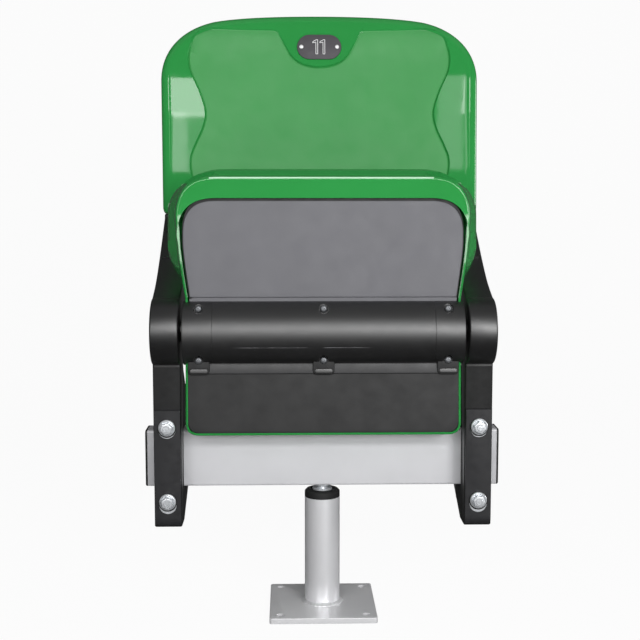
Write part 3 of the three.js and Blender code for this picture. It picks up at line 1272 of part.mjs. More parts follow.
function shaftBolt(side) {
  const seat = BRACKET_OUTER_X - HUB_CAP_THICK - SHAFT_BOLT_HEAD_HEIGHT - CLEARANCE;
  const bolt = turnedX([
    [0, SHAFT_HALF - SHAFT_BOLT_LENGTH],
    [SHAFT_BOLT_RADIUS, SHAFT_HALF - SHAFT_BOLT_LENGTH],
    [SHAFT_BOLT_RADIUS, seat],
    [SHAFT_BOLT_HEAD_RADIUS, seat],
    [SHAFT_BOLT_HEAD_RADIUS, seat + SHAFT_BOLT_HEAD_HEIGHT / 2],
    [SHAFT_BOLT_HEAD_RADIUS * 0.6, seat + SHAFT_BOLT_HEAD_HEIGHT / 2],
    [SHAFT_BOLT_HEAD_RADIUS * 0.6, seat + SHAFT_BOLT_HEAD_HEIGHT - CLEARANCE],
    [0, seat + SHAFT_BOLT_HEAD_HEIGHT - CLEARANCE],
  ], SMALL_SEGMENTS);
  return side > 0 ? bolt : bolt.rotateZ(Math.PI);
}

function hubCap(side) {
  const seat = BRACKET_OUTER_X - HUB_CAP_THICK;
  const cap = turnedX([
    [0, seat],
    [HUB_CAP_RADIUS, seat],
    [HUB_CAP_RADIUS, BRACKET_OUTER_X],
    [HUB_CAP_RADIUS * 0.9, BRACKET_OUTER_X + HUB_CAP_DOME * 0.6],
    [HUB_CAP_RADIUS * 0.45, BRACKET_OUTER_X + HUB_CAP_DOME],
    [0, BRACKET_OUTER_X + HUB_CAP_DOME],
  ]);
  return side > 0 ? cap : cap.rotateZ(Math.PI);
}

// Torsion spring wound on the shaft; its outer leg bears on the housing
class SpringPath extends THREE.Curve {
  getPoint(share, target = new THREE.Vector3()) {
    const radius = HINGE_SHAFT_RADIUS + SPRING_PLAY + SPRING_WIRE_RADIUS;
    const coil = SPRING_TURNS * 2 * Math.PI * radius;
    const travelled = share * (coil + SPRING_LEG);
    const angle = Math.min(travelled, coil) / radius;
    const tail = Math.max(0, travelled - coil);
    const x = SPRING_INNER_X + (SPRING_PITCH * angle) / (2 * Math.PI);
    return target.set(
      x,
      radius * Math.cos(angle) - tail * Math.sin(angle),
      radius * Math.sin(angle) + tail * Math.cos(angle),
    );
  }
}

function torsionSpring(side) {
  const section = new THREE.Shape();
  section.absarc(0, 0, SPRING_WIRE_RADIUS, 0, Math.PI * 2);
  const wire = new THREE.ExtrudeGeometry(section, {
    steps: SPRING_TURNS * 7,
    curveSegments: 2,
    extrudePath: new SpringPath(),
  });
  return side > 0 ? wire : wire.rotateZ(Math.PI);
}

function springCollar(side) {
  const bore = HINGE_SHAFT_RADIUS + CLEARANCE;
  const outer = SPRING_INNER_X - SPRING_WIRE_RADIUS - CLEARANCE;
  const ring = turnedX([
    [bore, outer - SPRING_COLLAR_WIDTH],
    [SPRING_COLLAR_RADIUS, outer - SPRING_COLLAR_WIDTH],
    [SPRING_COLLAR_RADIUS, outer],
    [bore, outer],
  ], RING_SEGMENTS);
  return side > 0 ? ring : ring.rotateZ(Math.PI);
}

// Assembly

function pedestal() {
  const group = new THREE.Group();
  group.add(
    part('base_plate', basePlate(), plateSteel),
    part('column', column(), silverPaint),
    part('swivel_collar', swivelCollar(), blackNylon),
    part('thrust_washer', thrustWasher(), zincSteel),
    part('lower_bush', lowerBush(), blackNylon),
  );
  return group;
}

function clampFasteners() {
  const group = new THREE.Group();
  for (const [label, side] of SIDES) {
    BOLT_LEVELS.forEach((z, place) => {
      const level = place === 0 ? 'lower' : 'upper';
      const bolt = part(`clamp_bolt_${label}_${level}`, clampBolt(), zincSteel);
      const nut = part(`clamp_nut_${label}_${level}`, clampNut(), zincSteel);
      for (const piece of [bolt, nut]) piece.position.set(side * BRACKET_MIDDLE_X, 0, z);
      group.add(bolt, nut);
    });
  }
  return group;
}

function backrest() {
  const group = new THREE.Group();
  group.add(part('backrest_shell', backrestShell(), greenPlastic));
  group.add(part('number_plate', numberPlate(), tagMetal));
  for (const [label, side] of SIDES) {
    const rivet = part(`plate_rivet_${label}`, plateRivet(), zincSteel);
    rivet.position.x = side * TAG_RIVET_X;
    group.add(rivet);
    BACK_SCREW_HEIGHTS.forEach((rise, place) => {
      const level = place === 0 ? 'lower' : 'upper';
      const screw = part(`backrest_screw_${label}_${level}`, backScrew(), zincSteel);
      screw.position.set(side * TONGUE_MIDDLE_X, TONGUE_FRONT + TONGUE_DEPTH, rise);
      group.add(screw);
    });
  }
  group.position.set(0, BACK_FOOT_Y, BACK_FOOT_Z);
  group.rotation.x = -RECLINE;
  return group;
}

function swivelHead() {
  const group = new THREE.Group();
  group.add(
    part('spindle', spindle(), zincSteel),
    part('spindle_circlip', spindleCirclip(), springSteel),
    part('spindle_nut', spindleNut(), zincSteel),
    part('beam', beam(), silverPaint),
  );
  const shaft = part('hinge_shaft', hingeShaft(), zincSteel);
  shaft.position.set(0, AXIS_Y, AXIS_Z);
  group.add(shaft);
  for (const [label, side] of SIDES) {
    group.add(
      part(`beam_end_cap_${label}`, beamEndCap(side), blackRubber),
      part(`side_bracket_${label}`, sideBracket(side), blackNylon),
      part(`clamp_block_${label}`, clampBlock(side), blackNylon),
      part(`clamp_strap_${label}`, clampStrap(side), darkStrap),
    );
    for (const piece of [
      part(`shaft_bolt_${label}`, shaftBolt(side), zincSteel),
      part(`hub_cap_${label}`, hubCap(side), blackNylon),
      part(`spring_collar_${label}`, springCollar(side), springSteel),
    ]) {
      piece.position.set(0, AXIS_Y, AXIS_Z);
      group.add(piece);
    }
  }
  group.add(clampFasteners(), backrest());
  return group;
}

function tipUpSeat() {
  const group = new THREE.Group();
  group.add(
    part('seat_shell', seatShell(), greenPlastic),
    part('underside_cover_front', frontCover(), greyCover),
    part('underside_cover_rear', rearCover(), darkCover),
    part('hinge_housing', hingeHousing(), blackNylon),
  );
  HOUSING_SCREWS.forEach(([x, z], place) => {
    const screw = part(`housing_screw_${place + 1}`, domedScrew(), springSteel);
    screw.position.set(x, HOUSING_SCREW_SEAT_Y, z);
    group.add(screw);
  });
  for (const [label, side] of SIDES) {
    group.add(
      part(`hinge_bush_${label}`, hingeBush(side), blackNylon),
      part(`torsion_spring_${label}`, torsionSpring(side), springSteel),
    );
  }
  group.position.set(0, AXIS_Y, AXIS_Z);
  group.rotation.x = -FOLD_LEAN;
  return group;
}

const stadiumSeat = new THREE.Group();
stadiumSeat.add(pedestal(), swivelHead(), tipUpSeat());
export default stadiumSeat;
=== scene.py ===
# %% [markdown]
# # A tip-up stadium seat on a swivel pedestal
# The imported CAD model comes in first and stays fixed. Every visible piece is
# then dressed over it, in the same frame: metres, X to the right of someone
# facing the seat, Y to the back and Z up. Sizes below are written in
# millimetres, because that is how such a seat is drawn in the workshop.

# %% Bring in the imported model
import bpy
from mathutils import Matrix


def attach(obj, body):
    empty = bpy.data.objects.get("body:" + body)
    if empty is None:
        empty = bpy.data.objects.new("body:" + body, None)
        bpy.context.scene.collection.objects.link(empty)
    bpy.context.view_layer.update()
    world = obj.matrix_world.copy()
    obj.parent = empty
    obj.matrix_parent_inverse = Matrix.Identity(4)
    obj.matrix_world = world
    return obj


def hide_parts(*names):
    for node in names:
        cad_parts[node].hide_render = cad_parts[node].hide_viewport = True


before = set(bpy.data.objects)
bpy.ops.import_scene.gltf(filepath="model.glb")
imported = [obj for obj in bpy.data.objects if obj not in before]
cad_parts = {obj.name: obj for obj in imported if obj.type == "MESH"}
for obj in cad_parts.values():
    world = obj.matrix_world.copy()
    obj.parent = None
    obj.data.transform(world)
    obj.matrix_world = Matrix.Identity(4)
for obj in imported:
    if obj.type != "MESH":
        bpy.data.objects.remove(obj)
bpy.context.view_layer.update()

import math
import bmesh
import bpy
from mathutils import Matrix, Vector

scene = bpy.context.scene
MM = 0.001

# %% [markdown]
# ## The camera
# The photograph looks almost straight at the seat from a little above and a
# touch to its left. The lens and the place were worked out from the floor
# plate's corners, the beam's edges and the bolts, so they are plain numbers.

# %% Camera
camera = bpy.data.objects.new("camera", bpy.data.cameras.new("camera"))
scene.collection.objects.link(camera)
scene.camera = camera
camera.data.lens = 67.16
camera.data.sensor_width = 36
camera.data.clip_end = 50
camera.location = (-0.047, -1.673, 0.587)
camera.rotation_euler = (math.radians(84.12), 0, math.radians(-1.5))
print("camera at", tuple(camera.location))

# %% [markdown]
# ## Floor and backdrop
# A sweep of white paper runs along the floor and up behind the seat. A plain
# white world would look the same, but the seat would float on it. So to the
# camera most of the sweep is plain white, and a small share of it is real
# paper that takes the soft shadow. In a mirror the paper is nearly dark, which
# keeps the black mouldings black.

# %% Node and colour helpers
def add(tree, kind, inputs=None, **settings):
    """Adds a node, with its settings and its inputs as values or links."""
    made = tree.nodes.new(kind)
    for name, value in settings.items():
        setattr(made, name, value)
    for name, value in (inputs or {}).items():
        if isinstance(value, bpy.types.NodeSocket):
            tree.links.new(value, made.inputs[name])
        else:
            made.inputs[name].default_value = value
    return made


def linear(code):
    """An sRGB hex colour as linear red, green, blue and alpha."""
    parts = [int(code[place:place + 2], 16) / 255 for place in (1, 3, 5)]
    return tuple(c / 12.92 if c < 0.04045 else ((c + 0.055) / 1.055) ** 2.4 for c in parts) + (1.0,)


def seen_by(tree):
    """Two sockets that are 1 where the camera looks, and where metal or glass reflects or refracts."""
    path = add(tree, "ShaderNodeLightPath")
    glossy, clear = path.outputs["Is Glossy Ray"], path.outputs["Is Transmission Ray"]
    mirrored = add(tree, "ShaderNodeMath", {0: glossy, 1: clear}, operation="MAXIMUM")
    return path.outputs["Is Camera Ray"], mirrored.outputs[0]


def larger(tree, first, first_share, second, second_share):
    """The larger of two sockets, each first multiplied by its share."""
    parts = [add(tree, "ShaderNodeMath", {0: socket, 1: part}, operation="MULTIPLY").outputs[0]
             for socket, part in ((first, first_share), (second, second_share))]
    return add(tree, "ShaderNodeMath", {0: parts[0], 1: parts[1]}, operation="MAXIMUM").outputs[0]


print("white as linear colour:", linear("#ffffff"))

# %% Studio paper
paper = bpy.data.materials.new("studio paper")
paper.use_nodes = True
tree = paper.node_tree
tree.nodes.clear()
by_camera, by_mirror = seen_by(tree)
cover = larger(tree, by_camera, 0.95, by_mirror, 1.0)
level = larger(tree, by_camera, 1.0, by_mirror, 0.07)
matt = add(tree, "ShaderNodeBsdfDiffuse", {"Color": linear("#dededf")})
glow = add(tree, "ShaderNodeEmission", {"Color": linear("#ffffff"), "Strength": level})
mixed = add(tree, "ShaderNodeMixShader", {0: cover, 1: matt.outputs[0], 2: glow.outputs[0]})
add(tree, "ShaderNodeOutputMaterial", {"Surface": mixed.outputs[0]})
print("studio paper nodes:", len(tree.nodes))

# %% Paper sweep, in metres
FLOOR_FRONT, FLOOR_REAR, SWEEP_RADIUS, PAPER_TOP, PAPER_HALF = -3.0, 1.6, 0.8, 4.0, 4
sweep = [(FLOOR_FRONT, 0.0), (FLOOR_REAR, 0.0)]
sweep += [(FLOOR_REAR + SWEEP_RADIUS * math.sin(a), SWEEP_RADIUS - SWEEP_RADIUS * math.cos(a))
          for a in [math.pi / 2 * step / 12 for step in range(1, 13)]]
sweep += [(FLOOR_REAR + SWEEP_RADIUS, PAPER_TOP)]
mesh = bpy.data.meshes.new("paper_sweep")
mesh.from_pydata(
    [(x, y, z) for y, z in sweep for x in (-PAPER_HALF, PAPER_HALF)], [],
    [(2 * k, 2 * k + 1, 2 * k + 3, 2 * k + 2) for k in range(len(sweep) - 1)])
mesh.materials.append(paper)
mesh.shade_smooth()
backdrop = bpy.data.objects.new("paper_sweep", mesh)
scene.collection.objects.link(backdrop)
print("paper sweep with", len(mesh.polygons), "panels")

# %% [markdown]
# ## Lights
# Black and polished mouldings are seen mostly by what they mirror, so the
# lights are placed for their reflections. Two long strips in front draw the
# highlight along the hinge housing and the bright line on the seat's rolled
# edge, where a painted highlight adds to it. A box on each side shades the
# round column and the hubs. A sheet overhead fills the top faces, and a narrow
# beam from the right reaches that rim alone. Six panes high up stand for the
# daylight that the polished wings mirror as pale patches.

# %% Soft boxes
FRONT_Y, AIM = -2.4, (0, -0.05, 0.42)


def soft_box(name, place, target, size, watts):
    light = bpy.data.lights.new(name, "AREA")
    light.shape = "RECTANGLE"
    light.size, light.size_y = size
    light.energy = watts
    lamp = bpy.data.objects.new(name, light)
    scene.collection.objects.link(lamp)
    lamp.location = place
    lamp.rotation_euler = (Vector(target) - Vector(place)).to_track_quat("-Z", "Y").to_euler()
    return lamp


soft_box("front strip", (0, FRONT_Y, 1.36), AIM, (2.0, 0.28), 22)
soft_box("low strip", (0, FRONT_Y, 0.86), AIM, (2.0, 0.16), 9.5)
soft_box("left box", (-0.98, FRONT_Y, 0.9), AIM, (0.6, 1.0), 8)
soft_box("right box", (1.1, FRONT_Y, 0.95), AIM, (0.7, 1.1), 32)
soft_box("overhead sheet", (0, -0.4, 2.6), (0, 0, 0.4), (3.0, 2.0), 4)
side_light = soft_box("side light", (1.9, 0.2, 0.78), (0.2, 0.0, 0.53), (1.0, 1.0), 0.9)
side_light.data.spread = math.radians(30)

# %% Panes of daylight
# Each pane has its x, its z, its width and its height in metres, and how bright it looks.
PANES = {
    "stripe": (-0.275, 2.16, 0.25, 0.30, 8.0),
    "stripe foot": (-0.18, 1.92, 0.06, 0.18, 3.6),
    "pale": (-0.1075, 2.09, 0.085, 0.44, 2.6),
    "bright": (0.36, 2.155, 0.36, 0.31, 8.0),
    "bright foot": (0.295, 1.925, 0.09, 0.15, 4.5),
    "bright lower": (0.215, 1.925, 0.07, 0.15, 1.6),
}
for label, (x, z, wide, high, level) in PANES.items():
    # An area lamp looks as bright as its watts over pi times its area, so its watts follow from the level.
    watts = level * math.pi * wide * high
    soft_box(f"{label} pane", (x, FRONT_Y, z), (x, 0.15, z - 1.38), (wide, high), watts)
print("panes:", list(PANES))

# %% World
AMBIENT, MIRRORED_AMBIENT = 0.12, 0.07
world = bpy.data.worlds.new("studio")
scene.world = world
world.use_nodes = True
tree = world.node_tree
by_camera, by_mirror = seen_by(tree)
ambient = add(tree, "ShaderNodeMapRange", {"Value": by_mirror, "To Min": AMBIENT, "To Max": MIRRORED_AMBIENT})
level = larger(tree, by_camera, 1.0, ambient.outputs["Result"], 1.0)
tree.nodes["Background"].inputs["Color"].default_value = linear("#ffffff")
tree.links.new(level, tree.nodes["Background"].inputs["Strength"])
scene.view_settings.view_transform = "Standard"
print("world:", world.name, "view:", scene.view_settings.view_transform)

# %% [markdown]
# ## Moulded polypropylene
# The seat and the back are injection-moulded polypropylene, dyed through.
# Where the mould is polished the skin is glossy, with a faint waviness called
# orange peel. Where the mould is etched it is matt and slightly paler, because
# the fine grain scatters light. A texture for each would do, but one recipe
# serves them all, from its own numbers. Real grain is about 0.2 mm wide, too
# fine to show from here, so it is drawn at about 1 mm.

# %% One recipe for moulded and painted skins
COAT_ROUGHNESS = 0.42


def skin(name, colour, shade, rough, grain_mm, grain_depth_mm, blotch_mm=60, metallic=0.0, ior=1.5, coat=0.0):
    """A dyed or painted skin: two close colours in soft clouds, uneven gloss, and a grain of real size."""
    made = bpy.data.materials.new(name)
    made.use_nodes = True
    tree = made.node_tree
    shader = tree.nodes["Principled BSDF"]
    place = add(tree, "ShaderNodeTexCoord").outputs["Object"]
    clouds = add(tree, "ShaderNodeTexNoise", {"Vector": place, "Scale": 1000 / blotch_mm, "Detail": 3.0})
    tint = add(tree, "ShaderNodeMix",
               {"Factor": clouds.outputs["Fac"], "A": linear(colour), "B": linear(shade)}, data_type="RGBA")
    polish = add(tree, "ShaderNodeTexNoise",
                 {"Vector": place, "Scale": 1000 / (blotch_mm * 0.35), "Detail": 5.0})
    gloss = add(tree, "ShaderNodeMapRange", {"Value": polish.outputs["Fac"], "From Min": 0.3, "From Max": 0.7,
                                             "To Min": rough[0], "To Max": rough[1]})
    grain = add(tree, "ShaderNodeTexNoise", {"Vector": place, "Scale": 1000 / grain_mm, "Detail": 2.0})
    bump = add(tree, "ShaderNodeBump", {"Height": grain.outputs["Fac"], "Distance": grain_depth_mm * MM,
                                        "Strength": 1.0})
    tree.links.new(tint.outputs["Result"], shader.inputs["Base Color"])
    tree.links.new(gloss.outputs["Result"], shader.inputs["Roughness"])
    tree.links.new(bump.outputs["Normal"], shader.inputs["Normal"])
    shader.inputs["Metallic"].default_value = metallic
    if metallic < 0.5:
        shader.inputs["IOR"].default_value = ior
    if coat:
        shader.inputs["Coat Weight"].default_value = coat
        shader.inputs["Coat Roughness"].default_value = COAT_ROUGHNESS
    return made


print("roughness of every coat:", COAT_ROUGHNESS)

# %% Polypropylene skins
# Moulded against polished steel: nearly a mirror, so lamps and daylight show in it as clear patches.
polished_green = skin("polished green polypropylene", "#2d8d44", "#29863e", (0.02, 0.05), 14, 0.006, 90)
# The same plastic from an etched mould: the grain scatters light, so it looks matt and a little paler.
grained_green = skin("grained green polypropylene", "#369046", "#328a43", (0.5, 0.6), 0.9, 0.03, 80)
# Etched, mid grey: partly the cover's own colour and partly painted light, lighter because this cover faces
# the light; soft and even, with hardly a highlight.
lit_grained_grey = skin("grained polypropylene, painted lit grey", "#626267", "#5c5c60", (0.56, 0.66), 0.9, 0.03, 70)
# Etched, almost black: partly the cover's own colour and partly painted shade, darker because the housing
# shades this cover; a dull charcoal, because the grain spreads what little it reflects.
shaded_grained_dark = skin("grained polypropylene, painted shaded dark", "#0c0c0d", "#09090a", (0.52, 0.62), 0.9, 0.03, 60)
# The smoother strip of the dark cover: painted a shade lighter than the cover, as painted light for the front
# lights it catches.
lit_band_dark = skin("smooth dark polypropylene, painted lighter", "#1c1c1e", "#18181a", (0.40, 0.50), 0.9, 0.03, 60)
# Painted shade: near-black, put in the cover's joint, behind each nut and on the lug pads, where shadow
# falls.
shadow_black = skin("painted shadow black", "#0a0a0b", "#0e0e0f", (0.6, 0.7), 1.1, 0.03, 30)
# Painted highlight: a pale green on the seat's front edge, standing in for the thin bright line that light
# draws along it.
painted_highlight_edge = skin("green edge with painted highlight", "#cdeed5", "#b9e4c3", (0.3, 0.4), 1.2, 0.01, 40)
print("moulded skins:", polished_green.name, grained_green.name, lit_grained_grey.name, shaded_grained_dark.name)

# %% [markdown]
# ## Nylon and rubber
# Side brackets, hinge housing and collar are glass-filled nylon. The fibres
# would make it grey and dull, but a skin of pure nylon lies over them. A coat
# on the shader is that skin: the black stays deep below it and the highlight
# on top is broad and soft.

# %% Nylon and rubber
# Brackets: black between satin and gloss, with broad highlights on the round hubs.
glass_nylon = skin("black glass-filled nylon", "#0f0f10", "#0c0c0d", (0.35, 0.43), 1.2, 0.03, 40,
                   ior=1.53, coat=0.8)
# The brackets' feet, from an etched part of the mould, and the collar: no highlight to speak of, and a colour
# a little darker than the brackets', which is painted shade, so they look deep black.
shaded_foot_nylon = skin("black nylon with etched skin, painted darker", "#0a0a0b", "#070708", (0.7, 0.8), 1.2, 0.03, 40, ior=1.53)
# The hinge housing: satin, with one long highlight that fades evenly above and below.
housing_nylon = skin("satin black nylon", "#0f0f10", "#0b0b0c", (0.44, 0.52), 1.6, 0.02, 50,
                     ior=1.58, coat=1.0)
# Moulded rubber: softer and greyer than nylon, with a dull edge.
cap_rubber = skin("black end cap rubber", "#141416", "#1a1a1b", (0.5, 0.65), 0.8, 0.03, 25, ior=1.52)
print("nylon and rubber:", glass_nylon.name, shaded_foot_nylon.name, housing_nylon.name, cap_rubber.name)

# %% [markdown]
# ## A rubbed line on the housing
# Feet and bags rub the housing along its widest part and leave a pale, broken
# line. It could be modelled as a scratch, but it has no depth that shows. So
# the height and the distance from its middle make a mask, noise along the
# housing breaks it up, and the mask mixes a paler colour into the black.

# %% Rubbed line
LINE_HEIGHT, LINE_HALF, LINE_CENTRE, LINE_REACH, BREAKS_MM = 386.6, 0.5, -30, 100, 30


def scuffed(finish, colour):
    """A broken pale line, rubbed into a finish at one height and to either side of a centre."""
    tree = finish.node_tree
    shader = tree.nodes["Principled BSDF"]
    place = add(tree, "ShaderNodeTexCoord").outputs["Object"]
    apart = add(tree, "ShaderNodeSeparateXYZ", {"Vector": place})
    above = add(tree, "ShaderNodeMath", {0: apart.outputs["Z"], 1: LINE_HEIGHT * MM}, operation="SUBTRACT")
    near = add(tree, "ShaderNodeMath", {0: above.outputs[0]}, operation="ABSOLUTE")
    line = add(tree, "ShaderNodeMapRange",
               {"Value": near.outputs[0], "From Min": LINE_HALF * MM, "From Max": 0.0})
    breaks = add(tree, "ShaderNodeTexNoise",
                 {"W": apart.outputs["X"], "Scale": 1000 / BREAKS_MM, "Detail": 6.0}, noise_dimensions="1D")
    kept = add(tree, "ShaderNodeMapRange",
               {"Value": breaks.outputs["Fac"], "From Min": 0.40, "From Max": 0.60, "To Max": 0.8})
    aside = add(tree, "ShaderNodeMath", {0: apart.outputs["X"], 1: LINE_CENTRE * MM}, operation="SUBTRACT")
    far = add(tree, "ShaderNodeMath", {0: aside.outputs[0]}, operation="ABSOLUTE")
    within = add(tree, "ShaderNodeMapRange", {"Value": far.outputs[0], "From Min": LINE_REACH * MM,
                                              "From Max": LINE_REACH * 0.7 * MM})
    broken = add(tree, "ShaderNodeMath",
                 {0: line.outputs["Result"], 1: kept.outputs["Result"]}, operation="MULTIPLY")
    mask = add(tree, "ShaderNodeMath",
               {0: broken.outputs[0], 1: within.outputs["Result"]}, operation="MULTIPLY")
    under = shader.inputs["Base Color"].links[0].from_socket
    rubbed = add(tree, "ShaderNodeMix", {"Factor": mask.outputs[0], "A": under, "B": linear(colour)},
                 data_type="RGBA")
    tree.links.new(rubbed.outputs["Result"], shader.inputs["Base Color"])


scuffed(housing_nylon, "#848488")
print("rubbed line at", LINE_HEIGHT, "mm")

# %% [markdown]
# ## Paint and metals
# The beam, column and floor plate carry silver powder coat. Its flakes of
# aluminium lie flatter on some faces than on others, so the same paint looks
# like plastic on one and like metal on another: a share of metallic stands
# for that. On the column and the plate the paint is also given a lighter
# colour than on the beam: painted light. Nuts and bolts are zinc plated. No
# metal here is a mirror, because plating and paint are rough at the scale of
# light.

# %% Powder coats
# On the beam: an even pale grey with a faint sheen.
silver_coat = skin("silver powder coat", "#c9c9cc", "#c2c2c5", (0.34, 0.44), 0.8, 0.02, 45, metallic=0.12)
# On the round tube: more metal, so its sides fall dark and a bright band runs down its middle; its colour is
# painted lighter than the beam's, as painted light.
lit_column_coat = skin("silver powder coat on tube, painted lighter", "#f4f4f6", "#ededf0", (0.32, 0.40), 0.8, 0.02, 45,
                   metallic=0.56)
# On the floor plate: smoother, so it mirrors the column's foot softly; its colour is painted lighter than the
# beam's, as painted light and reflection.
lit_plate_coat = skin("silver powder coat on plate, painted lighter", "#dededf", "#d2d2d5", (0.3, 0.4), 1.0, 0.006, 45,
                  metallic=0.25)
# On the clamp straps: dark grey, which sets them off from the black nylon behind.
strap_coat = skin("dark powder coat", "#28282a", "#202022", (0.36, 0.48), 0.9, 0.03, 30, metallic=0.1)
print("paints:", silver_coat.name, lit_column_coat.name, lit_plate_coat.name, strap_coat.name)

# %% Metals and fill
# Zinc plate: bright and slightly blue, with one facet of a nut light and the next one dark.
zinc = skin("zinc plated steel", "#eceef1", "#d2d6da", (0.32, 0.44), 2.5, 0.01, 9, metallic=0.7)
# Oiled spring steel: dark, with narrow highlights along each turn.
spring_steel = skin("oiled spring steel", "#55575b", "#484a4e", (0.3, 0.42), 1.0, 0.02, 12, metallic=1.0)
# Plain steel screws: dull grey dots on the black housing.
screw_steel = skin("plain screw steel", "#747679", "#646669", (0.42, 0.52), 1.2, 0.01, 5, metallic=0.8)
# Anodised aluminium of the number plate: dark and soft, without glare.
tag_coat = skin("dark anodised aluminium", "#454247", "#3e3b40", (0.5, 0.6), 0.7, 0.02, 20, metallic=0.2)
# Bare aluminium rivets: small bright points at either end of the plate.
rivet_aluminium = skin("bright aluminium", "#f1f1f2", "#e6e6e8", (0.45, 0.55), 0.8, 0.01, 6, metallic=0.4)
# Paint in the figures: plain white with no gloss, so they can be read from any side.
white_fill = skin("white paint fill", "#e9e9ea", "#dededf", (0.4, 0.5), 0.6, 0.02, 10)
print("metals:", zinc.name, spring_steel.name, screw_steel.name, tag_coat.name, rivet_aluminium.name)

# %% [markdown]
# ## Tools for making pieces
# Nearly every piece here is a run of closed rings: a shell runs from its back
# to its front, a bracket from one side to the other, a turned part round its
# axis. So one loft makes them all. A piece is drawn in millimetres, its
# normals are made to point outwards, and it then rides on its CAD body.

# %% From points to a finished piece
def piece(name, points, faces, body, finishes, zones=None, stands_for=(), crease=32):
    """A finished mesh piece, drawn in mm, that rides on a body and stands for CAD nodes."""
    mesh = bpy.data.meshes.new(name)
    mesh.from_pydata([tuple(value * MM for value in point) for point in points], [], faces)
    for finish in finishes:
        mesh.materials.append(finish)
    if zones:
        mesh.polygons.foreach_set("material_index", zones)
    made = bpy.data.objects.new(name, mesh)
    scene.collection.objects.link(made)
    shape = bmesh.new()
    shape.from_mesh(mesh)
    bmesh.ops.remove_doubles(shape, verts=shape.verts, dist=1e-6)
    bmesh.ops.recalc_face_normals(shape, faces=shape.faces)
    shape.to_mesh(mesh)
    shape.free()
    soften(made, crease)
    if body:
        dress(made, body, stands_for)
    return made


def soften(made, crease=32):
    """Smooth shading, but sharp where two faces meet at more than the crease angle."""
    made.data.shade_smooth()
    made.data.set_sharp_from_angle(angle=math.radians(crease))


def dress(made, body, stands_for=()):
    """Puts a piece on its body, in place of the CAD nodes that it stands for."""
    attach(made, body)
    if stands_for:
        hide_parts(*stands_for)
    return made


def settle(made):
    """Turns what the modifiers make into the object's own mesh."""
    bpy.context.view_layer.update()
    shown = made.evaluated_get(bpy.context.evaluated_depsgraph_get())
    mesh = bpy.data.meshes.new_from_object(shown)
    made.modifiers.clear()
    made.data = mesh
    return made


def cut(made, *tools):
    """Takes the tools out of a piece, and then removes them."""
    for tool in tools:
        step = made.modifiers.new("cut", "BOOLEAN")
        step.operation, step.solver, step.object = "DIFFERENCE", "EXACT", tool
    settle(made)
    for tool in tools:
        bpy.data.objects.remove(tool)
    return made


print("a piece is drawn in mm and kept in m, so it is scaled by", MM)

# %% Lofts and turned parts
def loft(rings, start="fan", end="fan"):
    """Closed rings joined in order. An end is a fan to its middle, one flat face, or left open."""
    count = len(rings[0])
    points = [point for ring in rings for point in ring]
    faces = []
    for ring in range(len(rings) - 1):
        for step in range(count):
            a, b = ring * count + step, ring * count + (step + 1) % count
            faces.append((a, b, b + count, a + count))
    for style, first in ((start, 0), (end, (len(rings) - 1) * count)):
        edge = list(range(first, first + count))
        if style == "flat":
            faces.append(tuple(edge))
        elif style == "fan":
            middle = tuple(sum(points[k][axis] for k in edge) / count for axis in range(3))
            points.append(middle)
            faces += [(edge[k], edge[(k + 1) % count], len(points) - 1) for k in range(count)]
    return points, faces


def turned(profile, count=72):
    """A closed profile of (radius, height) turned about Z; radius 0 points lie on the axis."""
    turns = [2 * math.pi * k / count for k in range(count)]
    rings = [[(radius * math.cos(turn), radius * math.sin(turn), height) for turn in turns]
             for radius, height in profile + [profile[0]]]
    return loft(rings, None, None)


def moved(points, matrix):
    return [tuple(matrix @ Vector(point)) for point in points]


def joined(solids):
    """Several solids as one list of points and one of faces."""
    points, faces = [], []
    for solid_points, solid_faces in solids:
        faces += [tuple(k + len(points) for k in face) for face in solid_faces]
        points += solid_points
    return points, faces


ALONG_Y = Matrix.Rotation(-math.pi / 2, 4, "X")
print("a cylinder of 72 sides has", len(turned([(0, 0), (1, 0), (1, 1), (0, 1)])[1]), "faces")

# %% [markdown]
# ## Outlines
# A moulding's outline is drawn as half a shape and mirrored, so both sides
# match. Straight runs, Bezier corners and a smooth line through a few points
# are enough for every outline on this seat.

# %% Curves
def bezier(*handles, steps=16):
    """Points of a Bezier curve of any order, without its first point."""
    line = []
    for step in range(1, steps + 1):
        share, level = step / steps, list(handles)
        while len(level) > 1:
            level = [tuple(a + (b - a) * share for a, b in zip(p, q)) for p, q in zip(level, level[1:])]
        line.append(level[0])
    return line


def smooth(points, steps=10):
    """A Catmull-Rom line through the points, without its first point."""
    line = []
    for k in range(len(points) - 1):
        last = min(k + 2, len(points) - 1)
        axes = list(zip(points[max(k - 1, 0)], points[k], points[k + 1], points[last]))
        for step in range(1, steps + 1):
            t = step / steps
            line.append(tuple(
                0.5 * (2 * b + (c - a) * t + (2 * a - 5 * b + 4 * c - d) * t * t
                       + (3 * b - a - 3 * c + d) * t ** 3)
                for a, b, c, d in axes))
    return line


def arc(cx, cy, radius, start, stop, steps=12):
    return [(cx + radius * math.cos(a), cy + radius * math.sin(a))
            for a in [start + (stop - start) * k / steps for k in range(steps + 1)]]


def rounding(across, deep, steps):
    """A rounded edge as pairs of how far in and how far down, from the outer face to the top face."""
    return [(across * (1 - math.cos(a)), deep * (1 - math.sin(a)))
            for a in [math.pi / 2 * k / steps for k in range(steps + 1)]]


def eased(share):
    """A share from 0 to 1 that starts and ends gently."""
    share = min(1.0, max(0.0, share))
    return share * share * (3 - 2 * share)


print("a quarter round of 1 mm:", [(round(a, 2), round(b, 2)) for a, b in rounding(1, 1, 3)])

# %% Points along an outline
def mirror(half):
    """A whole outline from its right half."""
    return half + [(-x, y) for x, y in reversed(half[1:-1])]


def part_way(p, q, share):
    """The point a share of the way from one point to another."""
    return (p[0] + (q[0] - p[0]) * share, p[1] + (q[1] - p[1]) * share)


